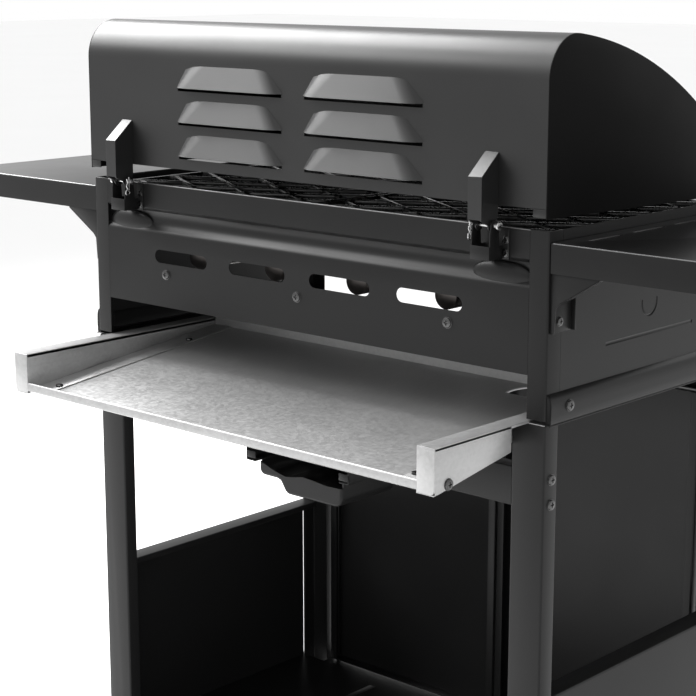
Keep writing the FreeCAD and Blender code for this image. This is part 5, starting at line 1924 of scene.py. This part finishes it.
# Front: fascia, knobs, gas train
@dataclass
class Front(Assembly):
    """Control panel, knobs, igniter button, manifold, valves and inlet."""

    sheet: float = 0.0012
    edge_round: float = 0.010
    knob_z: float = 0.838
    pipe_z: float = 0.8278
    skirt_radius: float = 0.026
    skirt_height: float = 0.0142
    barrel_radius: float = 0.0205
    valve_back: float = -0.2673

    def build(self) -> None:
        """Model and hand over the front's pieces."""
        self.fascia()
        self.bezels()
        self.knobs()
        self.igniter()
        self.gas_train()

    def fascia(self) -> None:
        """A folded fascia with rounded upper edge, closed ends and drilled face."""
        span = Span.of("control_panel")
        y0, y1, low, high = span.lo.y, span.hi.y, span.lo.z, span.hi.z
        section = [(y0 + 0.016, low), (y0, low), (y0, high - self.edge_round)]
        section += arc((y0 + self.edge_round, high - self.edge_round), self.edge_round, 180.0, 90.0, 6)[1:]
        section += [(y1, high)]
        skin = BENCH.fold("fascia", X, span.lo.x, span.size.x, section, 0.0012, (0, y1, low + 0.02),
                          0.0015)
        tools = [BENCH.rod("hole", Y, 0.0052, (x, y0 - 0.003, self.knob_z), 0.008, 0.0, 24)
                 for x in BURNER_COLUMNS]
        tools.append(BENCH.rod("hole", Y, 0.0092, (0, y0 - 0.003, self.knob_z), 0.008, 0.0, 32))
        BENCH.cut(skin, tools)
        end = [(y0 + 0.0012, low + 0.0006), (y0 + 0.0012, high - 0.010)]
        end += arc((y0 + 0.0105, high - 0.0105), 0.0092, 180.0, 90.0, 6)[1:]
        end += [(y1, high - 0.0014), (y1, low + 0.0006)]
        cap = BENCH.plate("end", X, span.hi.x - 0.0012, 0.0012, end, 0.0003)
        piece = BENCH.join("fascia", [skin, cap, BENCH.twin(cap, "end_left")])
        self.give(piece, self.looks.panel_coat, "control_panel")

    def bezels(self) -> None:
        """Bright rings behind the knobs."""
        span = Span.of("control_panel")
        rings = []
        for x in BURNER_COLUMNS:
            ring = BENCH.rod("ring", Y, 0.0315, (x, span.lo.y - 0.0016, self.knob_z), 0.0016, 0.0006,
                             48)
            BENCH.drill(ring, Y, 0.024, 0.005, [(x, span.lo.y - 0.003, self.knob_z)], 40)
            rings.append(ring)
        self.give(BENCH.join("knob_rings", rings), self.looks.brushed)

    def knobs(self) -> None:
        """Moulded knobs: skirt, fluted barrel, finger bar and pointer line."""
        first = Span.of("knob_1")
        x, z, y0, y1 = BURNER_COLUMNS[0], self.knob_z, first.lo.y, first.hi.y
        skirt = BENCH.rod("skirt", Y, self.skirt_radius, (x, y1 - self.skirt_height, z),
                          self.skirt_height, 0.003, 48)
        barrel = BENCH.rod("barrel", Y, self.barrel_radius, (x, y0 + 0.0115, z), 0.014, 0.002, 48)
        flutes = []
        for step in range(12):
            turn = 2 * math.pi * (step + 0.5) / 12
            flutes.append(BENCH.rod("flute", Y, 0.0022,
                                    (x + 0.0215 * math.cos(turn), y0 + 0.010, z + 0.0215 * math.sin(turn)),
                                    0.0125, 0.0, 12))
        BENCH.cut(barrel, flutes)
        grip = BENCH.box("grip", (x - 0.0052, y0, z - 0.0193), (x + 0.0052, y0 + 0.020, z + 0.0193), 0.003,
                         4)
        knob = BENCH.join("knob_cap_1", [skirt, barrel, grip])
        line = BENCH.box("line", (x - 0.0009, y0 - 0.0001, z + 0.004),
                         (x + 0.0009, y0 + 0.0006, z + 0.0175), 0.0003)
        bodies = ("knob_one", "knob_two", "knob_three", "knob_four")
        for index, (there, body) in enumerate(zip(BURNER_COLUMNS, bodies), start=1):
            shift = (there - x, 0, 0)
            cap = knob if index == 1 else BENCH.copy(knob, f"knob_cap_{index}", shift)
            mark = line if index == 1 else BENCH.copy(line, "line", shift)
            mark.name = f"knob_line_{index}"
            self.give(cap, self.looks.plastic, f"knob_{index}", body=body)
            self.give(mark, self.looks.dial, body=body)

    def igniter(self) -> None:
        """A domed push button."""
        span = Span.of("igniter_button")
        stem = BENCH.rod("button", Y, 0.0088, (0, span.lo.y + 0.001, self.knob_z), span.size.y - 0.001,
                         0.0005, 36)
        dome = BENCH.rod("dome", Y, 0.0089, (0, span.lo.y, self.knob_z), 0.004, 0.0024, 36)
        self.give(BENCH.join("push_button", [stem, dome]), self.looks.plastic, "igniter_button",
                  body="igniter")

    def gas_train(self) -> None:
        """Manifold pipe, cast valves with stems and nozzles, and the threaded inlet."""
        pipe = Span.of("gas_manifold")
        tube = BENCH.rod("manifold_pipe", X, 0.009, (pipe.lo.x, pipe.mid.y, pipe.mid.z), pipe.size.x,
                         0.0012)
        bands = [BENCH.rod("band", X, 0.0098, (x - 0.008, pipe.mid.y, pipe.mid.z), 0.016, 0.0006, 32)
                 for x in BURNER_COLUMNS]
        self.give(BENCH.join("manifold_pipe", [tube] + bands), self.looks.tube, "gas_manifold")
        span = Span.of("gas_valves")
        valves = []
        for x in BURNER_COLUMNS:
            valves.append(BENCH.box("body", (x - 0.013, self.valve_back - 0.0129, self.pipe_z - 0.017),
                                    (x + 0.013, self.valve_back + 0.013, self.pipe_z + 0.013), 0.004, 3))
            valves.append(BENCH.rod("nozzle", Y, 0.008, (x, self.valve_back, self.pipe_z),
                                    span.hi.y - self.valve_back, 0.001, 28))
            valves.append(BENCH.rod("neck", Y, 0.0085, (x, -0.2870, self.knob_z), 0.010, 0.0015, 28))
            valves.append(BENCH.rod("stem", Y, 0.004, (x, span.lo.y, self.knob_z), 0.05, 0.0005, 20))
        self.give(BENCH.join("valve_set", valves), self.looks.brass, "gas_valves")
        inlet = Span.of("gas_inlet")
        parts = [BENCH.rod("nut", X, 0.012, (inlet.lo.x, inlet.mid.y, inlet.mid.z), 0.006, 0.0006, 6)]
        for step in range(4):
            parts.append(BENCH.rod("thread", X, 0.0102,
                                   (inlet.lo.x + 0.0062 + step * 0.0016, inlet.mid.y, inlet.mid.z), 0.0013,
                                   0.0004, 28))
        self.give(BENCH.join("inlet_fitting", parts), self.looks.brass, "gas_inlet")


# Fasteners
@dataclass
class Screws(Assembly):
    """Pan-head screws with a cross recess, one at each head of the CAD."""

    radius: float = 0.006
    lift: float = 0.0025

    def build(self) -> None:
        """Model the frame's screws and the tray's."""
        heads = []
        posts = Span.of("corner_posts")
        rear, front, top, wide = posts.hi.y, posts.lo.y, posts.hi.z, posts.hi.x
        for x in (-0.2315, 0.0, 0.2315):
            heads.append(self.head((x, rear, top - 0.115), Y, 1, 1.0))
        for side in SIDES:
            for drop in (0.272, 0.300):
                for y in (rear - 0.0135, front + 0.0135):
                    heads.append(self.head((side * wide, y, top - drop), X, side, 1.0))
            for y in (rear - 0.036, front + 0.036):
                heads.append(self.head((side * (wide + 0.006), y, 0.728), X, side, 1.0))
            for y in (rear - 0.020, front + 0.020):
                heads.append(self.head((side * (wide + 0.0012), y, 0.822), X, side, 0.85))
            x = side * 0.294 - 0.013 - 0.0045
            for drop in (0.014, 0.028):
                heads.append(self.head((x, rear + 0.0015, top - drop), Y, 1, 0.7))
        self.give(BENCH.join("frame_screw_heads", heads), self.looks.dark_plated, "frame_screws")
        span = Span.of("tray_screws")
        pair = [self.head((side * 0.3455, span.mid.y, span.mid.z), X, side, 1.0) for side in SIDES]
        self.give(BENCH.join("tray_screw_heads", pair), self.looks.dark_plated, "tray_screws", body="tray")

    def head(self, place: Sequence[float], axis: Axis, way: int, share: float) -> Object:
        """One pan head with its cross recess and a thin washer.

        Args:
            place: The middle of its seat.
            axis: The axis that it points along.
            way: 1 or -1 along that axis.
            share: Its size against a full head.

        Returns:
            The head.
        """
        direction = axis.value[0] * way
        seat = Vector(place)
        radius, lift = self.radius * share, self.lift * share
        dome = BENCH.lean_rod("head", radius, seat, seat + direction * lift, lift * 0.62, 24)
        washer = BENCH.lean_rod("washer", radius * 1.12, seat - direction * 0.0004,
                                seat + direction * 0.0005, 0.0002, 24)
        across = Vector((0, 0, 1))
        other = direction.cross(across)
        arms = []
        for line in (across, other):
            wide = Vector([abs(c) for c in line]) * radius * 0.5
            thin = Vector([abs(c) for c in direction.cross(line)]) * radius * 0.13
            deep = Vector([abs(c) for c in direction]) * lift * 0.5
            middle = seat + direction * lift
            arms.append(BENCH.box("arm", middle - wide - thin - deep, middle + wide + thin + deep, 0.0))
        for arm in arms:
            BENCH.cut(dome, [arm])
        return BENCH.join("head", [dome, washer])


# Stage
@dataclass(frozen=True)
class SoftBox:
    """One large area light."""

    name: str
    place: tuple[float, float, float]
    aim: tuple[float, float, float]
    size: tuple[float, float]
    watts: float


@dataclass
class Studio:
    """Pale floor, white surroundings, soft boxes and the camera."""

    eye: tuple[float, float, float] = (-1.4602, 1.6904, 1.1934)
    azimuth: float = 42.37
    pitch: float = 12.11
    lens: float = 92.6
    sky: float = 1.0

    def build(self) -> None:
        """Set up the whole stage."""
        self.floor()
        self.world()
        for light in (SoftBox("key_box", (2.4, 0.05, 2.95), (0.0, 0.15, 1.1), (2.0, 1.9), 230.0),
                      SoftBox("louvre_box", (2.0, 1.6, 2.5), (0.0, 0.2, 1.0), (1.2, 0.9), 34.0),
                      SoftBox("rear_box", (0.6, 3.2, 2.3), (0.0, 0.0, 0.8), (2.6, 1.2), 6.0),
                      SoftBox("front_box", (-1.2, -3.0, 2.4), (0.0, 0.0, 0.7), (2.4, 1.6), 12.0)):
            self.light(light)
        self.camera()

    def floor(self) -> None:
        """A wide pale floor that isn't part of the object."""
        BENCH.only()
        bpy.ops.mesh.primitive_plane_add(size=60.0, location=(0, 0, -0.0005))
        floor = BENCH.settle(bpy.context.object, "studio_floor")
        tree = Tree("floor_paint")
        cloud = tree.noise(0.8, 2.0)
        tree.dress(tree.blend(cloud, (0.93, 0.93, 0.93), (0.96, 0.96, 0.96)), 0.8, 0.0, 0.1)
        floor.data.materials.append(tree.material)

    def world(self) -> None:
        """An even white surround."""
        world = bpy.data.worlds.new("studio_white")
        world.use_nodes = True
        background = world.node_tree.nodes["Background"]
        background.inputs["Color"].default_value = (1.0, 1.0, 1.0, 1.0)
        background.inputs["Strength"].default_value = self.sky
        bpy.context.scene.world = world
        bpy.context.scene.view_settings.view_transform = "Standard"

    def light(self, box: SoftBox) -> None:
        """Hang one soft box.

        Args:
            box: Its place, aim, size and power.
        """
        lamp = bpy.data.lights.new(box.name, "AREA")
        lamp.shape = "RECTANGLE"
        lamp.size, lamp.size_y = box.size
        lamp.energy = box.watts
        hanger = bpy.data.objects.new(box.name, lamp)
        bpy.context.scene.collection.objects.link(hanger)
        hanger.location = box.place
        hanger.rotation_euler = (Vector(box.aim) - Vector(box.place)).to_track_quat("-Z", "Y").to_euler()

    def camera(self) -> None:
        """The camera at the height and angle of the wanted view."""
        data = bpy.data.cameras.new("view_camera")
        data.lens = self.lens
        data.sensor_width = 36.0
        data.clip_end = 100.0
        camera = bpy.data.objects.new("view_camera", data)
        bpy.context.scene.collection.objects.link(camera)
        around, tilt = math.radians(self.azimuth), math.radians(self.pitch)
        back = Vector((-math.sin(around) * math.cos(tilt), math.cos(around) * math.cos(tilt),
                       math.sin(tilt)))
        camera.location = self.eye
        camera.rotation_euler = (-back).to_track_quat("-Z", "Y").to_euler()
        bpy.context.scene.camera = camera


def main() -> None:
    """Build every sub-assembly in order, then the stage."""
    logging.basicConfig(level=logging.INFO, format="%(name)s: %(message)s")
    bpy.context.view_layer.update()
    shop = Shop(Finishes())
    for assembly in (Firebox(shop), Lid(shop), LidHinges(shop), Tray(shop), Cup(shop), Cart(shop),
                     Shelves(shop), Front(shop), Screws(shop)):
        LOG.info("building %s", type(assembly).__name__)
        assembly.build()
    Studio().build()
    LOG.info("%d pieces", shop.count)


if __name__ == "__main__":
    main()
